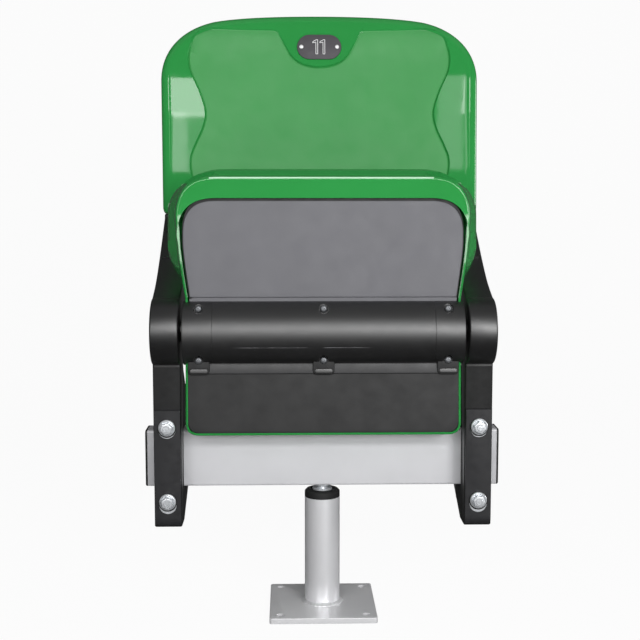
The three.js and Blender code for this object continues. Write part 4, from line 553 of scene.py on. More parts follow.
def between(first, second, share):
    return [part_way(p, q, share) for p, q in zip(first, second)]


def spread(outline, count):
    """Evenly spaced points along a closed outline."""
    spans = [math.dist(p, q) for p, q in zip(outline, outline[1:] + outline[:1])]
    step, line, travelled, place = sum(spans) / count, [], 0.0, 0
    for k in range(count):
        while travelled + spans[place] < k * step:
            travelled += spans[place]
            place += 1
        share = (k * step - travelled) / max(spans[place], 1e-9)
        line.append(part_way(outline[place], outline[(place + 1) % len(outline)], share))
    return line


def divided(outline, step):
    """The outline with every span cut into pieces no longer than step; its corners stay."""
    line = []
    for p, q in zip(outline, outline[1:] + outline[:1]):
        cuts = max(1, math.ceil(math.dist(p, q) / step))
        line += [(p[0] + (q[0] - p[0]) * k / cuts, p[1] + (q[1] - p[1]) * k / cuts) for k in range(cuts)]
    return line


def inset(line, distance):
    """A closed line, drawn anticlockwise, moved inwards."""
    moved_in = []
    for k, point in enumerate(line):
        before, after = line[k - 1], line[(k + 1) % len(line)]
        length = math.dist(before, after) or 1.0
        moved_in.append((point[0] - (after[1] - before[1]) / length * distance,
                         point[1] + (after[0] - before[0]) / length * distance))
    return moved_in


def reach(outline, guides, middle):
    """Where the rays from the middle through each guide point cross an outline."""
    shifted = [(x - middle[0], y - middle[1]) for x, y in outline]
    spans = list(zip(shifted, shifted[1:] + shifted[:1]))
    found = []
    for guide in guides:
        ray, best = (guide[0] - middle[0], guide[1] - middle[1]), 0.0
        for p, q in spans:
            side_p, side_q = ray[0] * p[1] - ray[1] * p[0], ray[0] * q[1] - ray[1] * q[0]
            if side_p * side_q > 0 or side_p == side_q:
                continue
            hit = part_way(p, q, side_p / (side_p - side_q))
            best = max(best, (hit[0] * ray[0] + hit[1] * ray[1]) / (ray[0] ** 2 + ray[1] ** 2))
        found.append((middle[0] + ray[0] * best, middle[1] + ray[1] * best))
    return found


print("a square spread into 8:", spread([(0, 0), (2, 0), (2, 2), (0, 2)], 8))

# %% [markdown]
# ## The backrest
# The back is one moulding with a rolled rim, two polished wings and a matt
# centre panel whose waisted edge is a crisp step. Subdividing a rough cage
# would soften that step. So it is lofted instead, from the panel's middle out
# to the step, over the wings and round the rim to the lip at its rear, then
# back again inside at the wall's thickness. The rings follow rays from the
# middle, so the step stays sharp at any resolution.

# %% Backrest outlines
RECLINE = math.radians(11)
BACK_FOOT_Y, BACK_FOOT_Z, BACK_LENGTH, BACK_WALL = 105, 478, 392, 4
BACK_HALF_TOP, BACK_HALF_WING, BACK_HALF_FOOT = 237.5, 233, 184
BACK_CORNER, BACK_FOOT_CORNER, BACK_WING_Z, BACK_WING_FOOT_Z = 104, 42, 92, 84.6
PANEL_FOOT, PANEL_TOP, DIP_FOOT = 22, 366, 310
WAIST = [(190.5, 345), (195.5, 325), (193, 302), (179, 270), (170, 239), (174, 213.6),
         (185.3, 186.6), (191.7, 166.2), (190, 143.9), (181, 110.2), (172, 74.9), (160, 40)]


def back_outline():
    half = [(0, 0), (BACK_HALF_FOOT - BACK_FOOT_CORNER, 0)]
    half += bezier(half[-1], (BACK_HALF_FOOT, 0), (BACK_HALF_FOOT, BACK_FOOT_CORNER))
    half += [(BACK_HALF_FOOT, BACK_WING_FOOT_Z * 0.8)]
    half += bezier(half[-1], (BACK_HALF_FOOT, BACK_WING_FOOT_Z),
                   (BACK_HALF_FOOT + BACK_WING_FOOT_Z * 0.2, BACK_WING_FOOT_Z))
    half += [(BACK_HALF_WING - 8, BACK_WING_FOOT_Z)]
    half += bezier(half[-1], (BACK_HALF_WING, BACK_WING_FOOT_Z), (BACK_HALF_WING, BACK_WING_Z))
    half += [(BACK_HALF_TOP, BACK_LENGTH - BACK_CORNER)]
    half += bezier(half[-1], (BACK_HALF_TOP, BACK_LENGTH - BACK_CORNER * 0.61),
                   (BACK_HALF_TOP - 24.8, BACK_LENGTH - BACK_CORNER * 0.25),
                   (BACK_HALF_TOP - 77.5, BACK_LENGTH - 11.5))
    half += bezier(half[-1], (BACK_HALF_TOP * 0.46, BACK_LENGTH), (0, BACK_LENGTH))
    return mirror(half)


def panel_outline():
    """The matt panel: waisted at its sides, with a round dip at its top for the number plate."""
    half = [(0, PANEL_FOOT), (138, PANEL_FOOT)]
    half += smooth([half[-1]] + WAIST[::-1])
    half += bezier(half[-1], (184.5, PANEL_TOP), (154.5, PANEL_TOP))
    half += [(70, PANEL_TOP)]
    half += bezier(half[-1], (50, PANEL_TOP), (60, DIP_FOOT), (0, DIP_FOOT), steps=24)
    return mirror(half)


print("backrest outline points:", len(back_outline()), "panel:", len(panel_outline()))

# %% [markdown]
# ### Curve of the back
# The back isn't flat. Its wings come forward to hold the sitter, and near its
# foot it swells to support the small of the back. A sculpted mesh could have
# these curves too. A formula keeps the face, the inner wall and the ribs on
# one curve, because all of them ask it.

# %% Curve of the back
# How far the wings come forward at the rim, and how far the small of the back does.
WING_CURVE, LUMBAR = 16, 6
# The fuller part of each wing: how full, from how far out, and round which height.
WING_BULGE, BULGE_START, BULGE_WIDE, BULGE_RISE, BULGE_HALF_HIGH = 3, 118, 45, 262, 80
# The step down to the panel, the groove along it, and where the step begins to fade.
STEP_DEPTH, GROOVE_DEPTH, STEP_FADES_AT, STEP_FADES_OVER = 3.4, 4.1, 322, 38


def swell(value, centre, width):
    """A smooth hump: 1 at its centre, and nearly 0 two widths away."""
    return math.exp(-(((value - centre) / width) ** 2))


def back_face(x, rise):
    """How far the face lies from a flat plane: wings forward and fuller halfway up, and a lumbar curve."""
    wing = WING_CURVE * abs(x / BACK_HALF_TOP) ** 2.4
    wing += WING_BULGE * eased((abs(x) - BULGE_START) / BULGE_WIDE) * swell(rise, BULGE_RISE, BULGE_HALF_HIGH)
    return -wing - LUMBAR * swell(rise, BACK_LENGTH * 0.25, BACK_LENGTH * 0.3)


def on_back(x, depth, rise):
    """A point of the reclined back: across, behind its plane and up along it."""
    return (x, BACK_FOOT_Y + rise * math.sin(RECLINE) + depth * math.cos(RECLINE),
            BACK_FOOT_Z + rise * math.cos(RECLINE) - depth * math.sin(RECLINE))


def back_ring(line, depth):
    return [on_back(x, back_face(x, rise) + depth, rise) for x, rise in line]


def sunk_ring(line, depth):
    """A ring of the sunk panel, whose step grows shallow towards the top."""
    shares = [1 - 0.8 * eased((rise - STEP_FADES_AT) / STEP_FADES_OVER) for _, rise in line]
    return [on_back(x, back_face(x, rise) + depth * share, rise) for (x, rise), share in zip(line, shares)]


print("face at the middle and at the rim:", [round(back_face(x, 200), 2) for x in (0, BACK_HALF_TOP)])

# %% Backrest shell
BACK_POINTS = 384
ROLL_WIDE, ROLL_DEEP, RIM_DEEP = 13, 10, 22.5
# The lip at the open rear and the inner wall behind it, as pairs of how far in from the rim and how deep.
LIP = [(1.2, 24), (4, 23.2), (4, 13.0), (5, 9.5), (9, 6.0), (17, BACK_WALL)]
middle = (0, BACK_LENGTH / 2)
rim = spread(back_outline(), BACK_POINTS)
panel = reach(panel_outline(), rim, middle)
panel_top = inset(panel, -2.2)
heart = [middle] * len(rim)
start = inset(panel, 1.0)
rings = [sunk_ring(between(start, heart, share), STEP_DEPTH)
         for share in (0.94, 0.84, 0.72, 0.6, 0.48, 0.36, 0.24, 0.14, 0.06)]
rings += [sunk_ring(start, STEP_DEPTH)]
matt_rings = len(rings) + 1
rings += [sunk_ring(panel, GROOVE_DEPTH), sunk_ring(inset(panel, -0.7), STEP_DEPTH)]
rings += [back_ring(inset(panel, -1.9), 0.25), back_ring(panel_top, 0), back_ring(inset(panel, -3.2), 0)]
roll_end = inset(rim, ROLL_WIDE)
rings += [back_ring(between(panel_top, roll_end, k / 8), 0) for k in range(1, 8)]
roll = [(0.0, RIM_DEEP), (0.0, 11.0)] + rounding(ROLL_WIDE, ROLL_DEEP, 9)[1:]
rings += [back_ring(inset(rim, across), depth) for across, depth in reversed(roll)]
rings += [back_ring(inset(rim, across), depth) for across, depth in LIP]
rings += [back_ring(panel_top, BACK_WALL), back_ring(panel, BACK_WALL + STEP_DEPTH)]
rings += [back_ring(between(panel, heart, share), BACK_WALL + STEP_DEPTH)
          for share in (0.2, 0.4, 0.6, 0.8, 0.94)]
points, faces = loft(rings)
zones = [1 if min(face) // BACK_POINTS < matt_rings else 0 for face in faces]
backrest = piece("backrest_moulding", points, faces, "swivel_head", [polished_green, grained_green], zones,
                 ["backrest_shell"])
print("backrest faces:", len(backrest.data.polygons))

# %% [markdown]
# ## Ribs and bosses behind the back
# The rear of the shell is open. Ribs stiffen the thin wall there, and four
# bosses take the bracket screws. Ribs repeat by rule, so Geometry Nodes make
# them: a line that follows the inside of the shell, swept with a flat bar,
# once for each rib.

# %% Rib tree
def rib_tree():
    """Lines across or up the shell, pressed onto its curve and swept with a flat bar."""
    tree = bpy.data.node_groups.new("ribs that follow a shell", "GeometryNodeTree")
    face = tree.interface
    face.new_socket("Geometry", in_out="INPUT", socket_type="NodeSocketGeometry")
    for name, kind in (("Thickness", "NodeSocketFloat"), ("Depth", "NodeSocketFloat"),
                       ("Rib finish", "NodeSocketMaterial")):
        face.new_socket(name, in_out="INPUT", socket_type=kind)
    face.new_socket("Geometry", in_out="OUTPUT", socket_type="NodeSocketGeometry")
    given = add(tree, "NodeGroupInput")
    paths = add(tree, "GeometryNodeMeshToCurve", {"Mesh": given.outputs["Geometry"]})
    upright = add(tree, "GeometryNodeSetCurveNormal", {"Curve": paths.outputs[0]}, mode="FREE")
    upright.inputs["Normal"].default_value = (0, math.cos(RECLINE), -math.sin(RECLINE))
    bar = add(tree, "GeometryNodeCurvePrimitiveQuadrilateral",
              {"Width": given.outputs["Depth"], "Height": given.outputs["Thickness"]})
    swept = add(tree, "GeometryNodeCurveToMesh",
                {"Curve": upright.outputs[0], "Profile Curve": bar.outputs[0], "Fill Caps": True})
    real = add(tree, "GeometryNodeRealizeInstances", {"Geometry": swept.outputs[0]})
    done = add(tree, "GeometryNodeSetMaterial",
               {"Geometry": real.outputs[0], "Material": given.outputs["Rib finish"]})
    add(tree, "NodeGroupOutput", {"Geometry": done.outputs[0]})
    return tree


def grow(name, points, edges, tree, values):
    """Runs a Geometry Nodes tree on points and edges drawn in mm, and keeps the plain mesh."""
    mesh = bpy.data.meshes.new(name)
    mesh.from_pydata([tuple(value * MM for value in point) for point in points], edges, [])
    made = bpy.data.objects.new(name, mesh)
    scene.collection.objects.link(made)
    modifier = made.modifiers.new("grow", "NODES")
    modifier.node_group = tree
    for socket in tree.interface.items_tree:
        if socket.item_type == "SOCKET" and socket.in_out == "INPUT" and socket.name in values:
            modifier[socket.identifier] = values[socket.name]
    settle(made)
    soften(made)
    return made


print("a tree is run by grow, on points and edges drawn in mm")

# %% Ribs behind the backrest
RIB_THICK, RIB_DEEP, RIB_DEPTH, RIB_STEPS = 3, 7, 9.5, 24
RIB_FOOT, RIB_TOP, RIB_HALF = 6, 312, 165
RIBS = [((x, RIB_FOOT), (x, RIB_TOP)) for x in (-110, 0, 110)]
RIBS += [((-RIB_HALF, z), (RIB_HALF, z)) for z in (70, 160, 250)]
rib_points, rib_edges = [], []
for first, second in RIBS:
    base = len(rib_points)
    for k in range(RIB_STEPS + 1):
        x, rise = [a + (b - a) * k / RIB_STEPS for a, b in zip(first, second)]
        rib_points.append(on_back(x, back_face(x, rise) + RIB_DEPTH, rise))
    rib_edges += [(base + k, base + k + 1) for k in range(RIB_STEPS)]
ribs = grow("backrest_ribs", rib_points, rib_edges, rib_tree(),
            {"Thickness": RIB_THICK * MM, "Depth": RIB_DEEP * MM, "Rib finish": polished_green})
dress(ribs, "swivel_head")
print("ribs:", len(ribs.data.polygons), "faces")

# %% Screw bosses
BOSS = [(0, -9), (7, -9), (7, 2.0), (6.3, 2.7), (2.7, 2.7), (2.7, -7), (0, -7)]
BOSS_X, BOSS_RISES = 208, (112, 158)
bosses = []
for side in (-1, 1):
    for rise in BOSS_RISES:
        points, faces = turned(BOSS, 32)
        place = Matrix.Translation(on_back(side * BOSS_X, 0, rise))
        bosses.append((moved(points, place @ Matrix.Rotation(-RECLINE, 4, "X") @ ALONG_Y), faces))
screw_bosses = piece("backrest_bosses", *joined(bosses), "swivel_head", [polished_green])
print("screw bosses:", len(bosses))

# %% [markdown]
# ## The seat shell
# Folded up, the seat shows its underside: a polished green flange round a
# grey cover, and walls that flare away to the rolled rim behind. It is lofted
# like the back, in a frame of its own whose origin is the hinge line.

# %% Seat outlines
LEAN = math.radians(5)
AXIS_Y, AXIS_Z = -48, 404.5
WALL, FLANGE_Y, RIM_Y = 3.5, -16, 27
FRONT_Z, REAR_Z = 224, -141.5
HALF_FRONT, HALF_REAR, WAIST_Z, HIP_Z, REAR_CORNER = 214, 187.3, 62, 108, 18
HUB = 44


def on_seat(x, y, z):
    """A point of the leaning seat: across, towards its sitting face and up from the hinge line."""
    return (x, AXIS_Y + y * math.cos(LEAN) + z * math.sin(LEAN),
            AXIS_Z - y * math.sin(LEAN) + z * math.cos(LEAN))


def rim_outline():
    half = [(0, REAR_Z), (HALF_REAR - REAR_CORNER, REAR_Z)]
    half += bezier(half[-1], (HALF_REAR, REAR_Z), (HALF_REAR, REAR_Z + REAR_CORNER))
    half += [(HALF_REAR, WAIST_Z - REAR_CORNER)]
    half += bezier(half[-1], (HALF_REAR, WAIST_Z), (HALF_REAR + REAR_CORNER / 2, WAIST_Z + REAR_CORNER / 2))
    half += bezier(half[-1], (HALF_FRONT, HIP_Z - REAR_CORNER / 2), (HALF_FRONT, HIP_Z + REAR_CORNER / 2))
    half += [(HALF_FRONT, FRONT_Z - 62)]
    half += bezier(half[-1], (HALF_FRONT, FRONT_Z - 24.8), (HALF_FRONT - 39, FRONT_Z),
                   (HALF_FRONT - 78, FRONT_Z), steps=24)
    half += [(0, FRONT_Z)]
    return mirror(half)


def under_outline(lip, half_rear, half_hip, half_front, front, corner):
    """An outline on the underside, a lip's width in from the rear edge."""
    rear = REAR_Z + lip
    half = [(0, rear), (half_rear - REAR_CORNER, rear)]
    half += bezier(half[-1], (half_rear, rear), (half_rear, rear + REAR_CORNER))
    half += [(half_rear, HUB)]
    half += bezier(half[-1], (half_hip, HIP_Z), (half_hip, (HIP_Z + front - corner) / 2))
    half += [(half_front, front - corner)]
    half += bezier(half[-1], (half_front, front), (half_front - corner, front), steps=24)
    half += [(0, front)]
    return mirror(half)


print("rim outline points:", len(rim_outline()))

# %% [markdown]
# ### Sitting face
# Behind the covers lies the surface that one sits on: a shallow dish with a
# matt panel. It follows a formula as well, so that the wall below it has the
# same dish.

# %% Sitting face
DISH_EDGE, DISH_DEEP, DISH_Z, DISH_REACH = 5, 8, 96, 70


def sitting_face(x, z):
    """The depth of the sitting face: dished from side to side, and deepest where one sits."""
    across = min(1.0, abs(x) / HALF_REAR)
    return RIM_Y - (DISH_EDGE + DISH_DEEP * swell(z, DISH_Z, DISH_REACH)) * (1 - across ** 3)


def flat(line, y):
    """A ring of the seat at one depth."""
    return [on_seat(x, y, z) for x, z in line]


def dished(line, drop):
    """A ring of the seat a little below its sitting face."""
    return [on_seat(x, sitting_face(x, z) - drop, z) for x, z in line]


print("the dish is", RIM_Y - sitting_face(0, DISH_Z), "mm deep")

# %% Seat shell
SEAT_POINTS, OPENING_GAP, PANEL_SINK = 384, 2.2, 1.5
EDGE_WIDE, EDGE_DEEP, FOOT_WIDE, FOOT_DEEP = 5, 4.5, 3, 3.2
# A highlight is painted pale on the front edge of the flange above this height, this far to each side.
HIGHLIGHT_HALF, HIGHLIGHT_FROM = 152, 600
middle = (0, (FRONT_Z + REAR_Z) / 2)
rim = spread(rim_outline(), SEAT_POINTS)
flange = reach(under_outline(0, HALF_REAR, 198, 200, 209.5, 55), rim, middle)
opening = reach(under_outline(OPENING_GAP, HALF_REAR - OPENING_GAP, 195.6, 197.6, 180.5, 51), rim, middle)
heart = [middle] * len(rim)
shelf = inset(rim, 10.5)
rings = [dished(between(shelf, heart, share), PANEL_SINK)
         for share in (0.9, 0.8, 0.7, 0.6, 0.5, 0.4, 0.3, 0.2, 0.13)]
matt_rings = len(rings) + 1
rings += [dished(between(shelf, heart, 0.1285), 1.2), dished(between(shelf, heart, 0.1215), 0.3)]
rings += [dished(between(shelf, heart, share), 0) for share in (0.12, 0.08, 0.04)]
rings += [dished(shelf, 0)]
rolled = rounding(EDGE_WIDE, EDGE_DEEP, 7)
rings += [flat(inset(rim, across), RIM_Y - drop) for across, drop in reversed(rolled)]
wall_foot, wall_top = FLANGE_Y + FOOT_DEEP, RIM_Y - EDGE_DEEP
rings += [flat(between(rim, flange, share), wall_top + (wall_foot - wall_top) * share)
          for share in (0.25, 0.5, 0.75)]
edge_ring = len(rings) + 2
rings += [flat(inset(flange, across), FLANGE_Y + drop) for across, drop in rounding(FOOT_WIDE, FOOT_DEEP, 7)]
rings += [flat(inset(flange, WALL), FLANGE_Y)]
rings += [flat(inset(opening, -0.8), FLANGE_Y), flat(inset(opening, -0.3), FLANGE_Y)]
rings += [flat(opening, FLANGE_Y + 0.3), flat(opening, FLANGE_Y + 3.2)]
rings += [flat(inset(flange, WALL), FLANGE_Y + WALL), flat(inset(rim, WALL), RIM_Y - 2 * WALL)]
rings += [dished(shelf, WALL)]
rings += [dished(between(shelf, heart, share), PANEL_SINK + WALL) for share in (0.14, 0.3, 0.5, 0.7, 0.9)]
points, faces = loft(rings)
zones = [1 if min(face) // SEAT_POINTS < matt_rings else 0 for face in faces]
# Faces of the flange's front edge within that reach get the painted highlight.
for number in range(edge_ring * SEAT_POINTS, (edge_ring + 4) * SEAT_POINTS):
    x, _, height = points[min(faces[number])]
    if abs(x) < HIGHLIGHT_HALF and height > HIGHLIGHT_FROM:
        zones[number] = 2
seat = piece("seat_moulding", points, faces, "tip_up_seat", [polished_green, grained_green, painted_highlight_edge],
             zones, ["seat_shell"])
print("seat faces:", len(seat.data.polygons))

# %% [markdown]
# ## Underside covers
# Two covers close the hollow seat. The grey one is a shallow tray with a
# raised face, so a joint stays all round it; above a set height the tray in
# that joint is painted black, as shade. The dark one is flat, with a raised
# band along the hinge housing. The grey one's colour is partly painted light,
# lighter where it faces the light, and the dark one's partly painted shade,
# darker where the housing shades it. Small rounded edges catch the light.

# %% Front cover
COVER_POINTS, COVER_THICK, COVER_FOOT_HALF = 300, 2.6, 181
# The last number is the height above which the tray in the joint is painted black, as shade.
TRAY_SINK, FACE_RISE, FACE_ROUND, SHADOW_BLACK_FROM = 3.8, 3, 1.4, 450


def cover_outline(start, half_hip, front, corner):
    half = [(0, start), (COVER_FOOT_HALF, start)]
    half += bezier(half[-1], (half_hip, HIP_Z), (half_hip, (HIP_Z + front - corner) / 2))
    half += [(half_hip, front - corner)]
    half += bezier(half[-1], (half_hip, front), (half_hip - corner, front), steps=24)
    half += [(0, front)]
    return mirror(half)


middle = (0, 110)
raised = spread(cover_outline(46, 190.25, 177, 43), COVER_POINTS)
tray = reach(cover_outline(38, 191.25, 186, 50), raised, middle)
tray_y = FLANGE_Y + TRAY_SINK
face_y = tray_y - FACE_RISE
heart = [middle] * len(raised)
rings = [flat(between(tray, heart, 0.5), tray_y + COVER_THICK), flat(tray, tray_y + COVER_THICK)]
rings += [flat(tray, tray_y), flat(raised, tray_y)]
rings += [flat(inset(raised, across), face_y + drop) for across, drop in rounding(FACE_ROUND, FACE_ROUND, 5)]
rings += [flat(between(inset(raised, FACE_ROUND), heart, share), face_y) for share in (0.1, 0.4, 0.7)]
points, faces = loft(rings)
# Tray faces in the joint above that height take the painted shade black.
zones = [1 if max(face) < 4 * COVER_POINTS and points[min(face)][2] > SHADOW_BLACK_FROM else 0 for face in faces]
front_cover = piece("front_cover", points, faces, "tip_up_seat", [lit_grained_grey, shadow_black], zones,
                    ["underside_cover_front"])
print("front cover faces:", len(front_cover.data.polygons))

# %% [markdown]
# ### The dark cover and its band
# The rear cover is dark, partly as painted shade, and etched. Along its top
# runs a smooth wedge, flush at the housing and a little proud at its foot,
# painted a shade lighter than the cover as painted light. It could be an area
# of the cover with its own finish, but its crisp foot needs an edge of its
# own, so it is a second piece.

# %% Rear cover
REAR_GAP, REAR_TOP, REAR_SINK, REAR_ROUND = 2.7, -39, 0.3, 1.2
side, foot = HALF_REAR - REAR_GAP, REAR_Z + REAR_GAP
half = [(0, foot), (side - REAR_CORNER, foot)]
half += bezier(half[-1], (side, foot), (side, foot + REAR_CORNER))
half += [(side, REAR_TOP), (0, REAR_TOP)]
edge = spread(mirror(half), COVER_POINTS)
middle = (0, -92)
heart = [middle] * len(edge)
face_y = FLANGE_Y + REAR_SINK
rings = [flat(between(edge, heart, 0.5), face_y + COVER_THICK), flat(edge, face_y + COVER_THICK)]
rings += [flat(inset(edge, across), face_y + drop) for across, drop in rounding(REAR_ROUND, REAR_ROUND, 5)]
rings += [flat(between(inset(edge, REAR_ROUND), heart, share), face_y) for share in (0.1, 0.4, 0.7)]
points, faces = loft(rings)
rear_cover = piece("rear_cover", points, faces, "tip_up_seat", [shaded_grained_dark], None, ["underside_cover_rear"])
print("rear cover faces:", len(rear_cover.data.polygons))

# %% Band on the rear cover
# The section of the band, as pairs of height from the hinge line and depth behind the cover's face.
BAND = [(-40, 0.6), (-40, 0.9), (-56.4, -2.4), (-57.2, -2.2), (-57.6, -1.6), (-57.6, 0.6)]
BAND_HALF = 181.5
rings = [[on_seat(x, face_y + depth, height) for height, depth in BAND] for x in (-BAND_HALF, 0, BAND_HALF)]
points, faces = loft(rings, "flat", "flat")
cover_band = piece("rear_cover_band", points, faces, "tip_up_seat", [lit_band_dark])
print("band faces:", len(cover_band.data.polygons))

# %% [markdown]
# ## Hinge housing
# The housing is half a tube, pressed against the seat. Its section is drawn
# once and lofted from end to end, drawn in a little at the ends for a soft
# edge and at two fine mould joints. A cylinder would do for its middle, but
# not for those. Screw wells are cut with a boolean.

# %% Housing body
HOUSING_RADIUS, HOUSING_BACK, HOUSING_SAG, HOUSING_HALF, HOUSING_ROUND = HUB + 0.4, -9, 1.8, 190.5, 1.4
# A mould joint, as pairs of place along the housing and how far it is drawn in.
MOULD_JOINT = [(-150.5, 0), (-150.2, 0.35), (-149.8, 0.35), (-149.5, 0)]


def housing_section(radius):
    """The round front of the tube, from where it meets the seat above to where it meets it below."""
    rise = math.acos(-HOUSING_BACK / radius)
    return arc(0, -HOUSING_SAG, radius, math.pi - rise, math.pi + rise, 64)


half_stations = [(-HOUSING_HALF + across, drop) for across, drop in rounding(HOUSING_ROUND, HOUSING_ROUND, 5)]
half_stations += MOULD_JOINT
all_stations = half_stations + [(0, 0)] + [(-x, drop) for x, drop in reversed(half_stations)]
rings = [[on_seat(x, y, z) for y, z in housing_section(HOUSING_RADIUS - drop)] for x, drop in all_stations]
points, faces = loft(rings, "flat", "flat")
housing = piece("hinge_housing_shell", points, faces, None, [housing_nylon])
print("housing stations:", len(all_stations))

# %% Screw wells
SCREW_X, SCREW_LEVELS = (-169, 0, 169), (30.5, -39)
SCREWS = [(x, z) for x in SCREW_X for z in SCREW_LEVELS]
WELL = [(0, -80), (6.7, -80), (6.7, -19), (0, -19)]
wells = []
for x, z in SCREWS:
    points, faces = turned(WELL, 40)
    place = Matrix.Translation((x, 0, z)) @ ALONG_Y
    wells.append(([on_seat(*point) for point in moved(points, place)], faces))
cut(housing, piece("screw_wells", *joined(wells), None, [housing_nylon]))
soften(housing, 30)
dress(housing, "tip_up_seat", ["hinge_housing"])
print("housing faces:", len(housing.data.polygons))

# %% [markdown]
# ### Lugs under the housing
# Round each lower screw a flat pad stands out from the rear cover, with a
# small rounded bar along its foot. The pad is painted black, as the shade
# under the housing's lower edge. A box with a bevel would do for one of them.
# Here both are slabs, outlines that are drawn in near their first and last
# level, because the brackets and the floor plate are made the same way.

# %% Slabs
def slab(outline, near, far, edge, place=lambda a, b, level: (a, b, level)):
    """An outline with rounded edges between two levels, put in place by a function of (a, b, level)."""
    line = divided(outline, 3)
    way = 1 if far > near else -1
    corner = rounding(edge, edge, 4)
    levels = [(drop, near + way * across) for across, drop in corner]
    levels += [(across, far - way * drop) for across, drop in corner]
    rings = [[place(a, b, level) for a, b in inset(line, across)] for across, level in levels]
    return loft(rings, "flat", "flat")


def rounded(width, height, radius, cx=0, cy=0):
    """A rectangle with round corners, about a middle."""
    x, y = width / 2 - radius, height / 2 - radius
    line = []
    for turn, (a, b) in enumerate([(x, y), (-x, y), (-x, -y), (x, -y)]):
        line += arc(cx + a, cy + b, radius, turn * math.pi / 2, (turn + 1) * math.pi / 2, 8)
    return line


print("points of a rounded square:", len(rounded(10, 10, 2)))

# %% Lugs
# The pad and the bar: width, height, corner, height from the hinge line, how far proud, edge and finish.
# The pad's finish is the painted shade black; the bar's is the housing's nylon.
PADS = [(29, 24, 5, -46.5, 4.4, 0.8, 1), (25, 7, 3.2, -53.6, 5.6, 1.4, 0)]
solids, zones = [], []
for x in SCREW_X:
    for wide, high, corner, height, proud, edge, zone in PADS:
        points, faces = slab(rounded(wide, high, corner, x, height), FLANGE_Y, FLANGE_Y - proud, edge,
                             lambda a, b, level: on_seat(a, level, b))
        solids.append((points, faces))
        zones += [zone] * len(faces)
lugs = piece("housing_lugs", *joined(solids), "tip_up_seat", [housing_nylon, shadow_black], zones)
print("lugs:", len(lugs.data.polygons), "faces")

# %% [markdown]
# ## Screws, nuts and bolts
# Fasteners repeat, so one Geometry Nodes tree stamps them: it takes points,
# a master part, a tilt for the axis and a seed, and turns each copy about its
# own axis by a different amount, as fasteners are in life.

# %% Stamping tree
def stamp_tree():
    """Copies of a master part on points, tilted alike and each turned by chance about its own axis."""
    tree = bpy.data.node_groups.new("stamped fasteners", "GeometryNodeTree")
    face = tree.interface
    face.new_socket("Geometry", in_out="INPUT", socket_type="NodeSocketGeometry")
    for name, kind in (("Master", "NodeSocketObject"), ("Tilt", "NodeSocketFloat"),
                       ("Turn seed", "NodeSocketInt"), ("Fastener finish", "NodeSocketMaterial")):
        face.new_socket(name, in_out="INPUT", socket_type=kind)
    face.new_socket("Geometry", in_out="OUTPUT", socket_type="NodeSocketGeometry")
    given = add(tree, "NodeGroupInput")
    pattern = add(tree, "GeometryNodeObjectInfo", {"Object": given.outputs["Master"]})
    turn = add(tree, "FunctionNodeRandomValue", {"Max": 2 * math.pi, "Seed": given.outputs["Turn seed"]},
               data_type="FLOAT")
    tilt = add(tree, "ShaderNodeCombineXYZ", {"X": given.outputs["Tilt"]})
    spin = add(tree, "ShaderNodeCombineXYZ", {"Z": turn.outputs[1]})
    both = add(tree, "FunctionNodeRotateEuler",
               {"Rotation": tilt.outputs[0], "Rotate By": spin.outputs[0]}, space="LOCAL")
    copies = add(tree, "GeometryNodeInstanceOnPoints",
                 {"Points": given.outputs["Geometry"], "Instance": pattern.outputs["Geometry"],
                  "Rotation": both.outputs[0]})
    real = add(tree, "GeometryNodeRealizeInstances", {"Geometry": copies.outputs[0]})
    done = add(tree, "GeometryNodeSetMaterial",
               {"Geometry": real.outputs[0], "Material": given.outputs["Fastener finish"]})
    add(tree, "NodeGroupOutput", {"Geometry": done.outputs[0]})
    return tree


stamps = stamp_tree()
print("stamping tree nodes:", len(stamps.nodes))

# %% Masters and their copies
def master(name, *solids):
    """A fastener drawn about Z, pointing up out of the face it sits on; it goes once its copies are made."""
    return piece(name, *joined(solids), None, [zinc])


def stamped(name, places, pattern, tilt, seed, finish, body, stands_for):
    """One piece made of a master's copies at several places."""
    made = grow(name, places, [], stamps,
                {"Master": pattern, "Tilt": tilt, "Turn seed": seed, "Fastener finish": finish})
    dress(made, body, stands_for)
    print(name, "copies:", len(places), "faces:", len(made.data.polygons))
    return made


CORNERS = [f"{side}_{level}" for side in ("left", "right") for level in ("lower", "upper")]
print("fasteners stand in fours:", CORNERS)

# %% Housing and backrest screws
DOME = [(0, -17), (2.4, -17), (2.4, 0), (5.3, 0), (5.3, 0.8), (4.8, 1.9), (3.6, 2.7), (2.3, 3.1), (1.5, 3.15),
        (1.2, 1.3), (0, 1.3)]
UPPER_SCREW_Y, LOWER_SCREW_Y, BACK_SCREW_DEPTH = -22.5, -20.5, 20
screw = master("screw_master", turned(DOME, 32))
places = [on_seat(x, UPPER_SCREW_Y if z > 0 else LOWER_SCREW_Y, z) for x, z in SCREWS]
stamped("housing_screws", places, screw, math.pi / 2 - LEAN, 3, screw_steel, "tip_up_seat",
        [f"housing_screw_{k}" for k in range(1, 7)])
places = [on_back(side * BOSS_X, BACK_SCREW_DEPTH, rise) for side in (-1, 1) for rise in BOSS_RISES]
stamped("backrest_screws", places, screw, -math.pi / 2 - RECLINE, 5, zinc, "swivel_head",
        [f"backrest_screw_{label}" for label in CORNERS])
bpy.data.objects.remove(screw)

# %% [markdown]
# ### Clamp bolts and nuts
# Two bolts on each side pull the bracket and its block together round the
# beam, with flanged nuts on their front ends. The washers behind the nuts
# have wide holes, so they hang low. A dark ring behind each nut, set a little
# low, is the nut's shadow on them, painted. They are stamped like the screws,
# only with the places lowered by the sag.

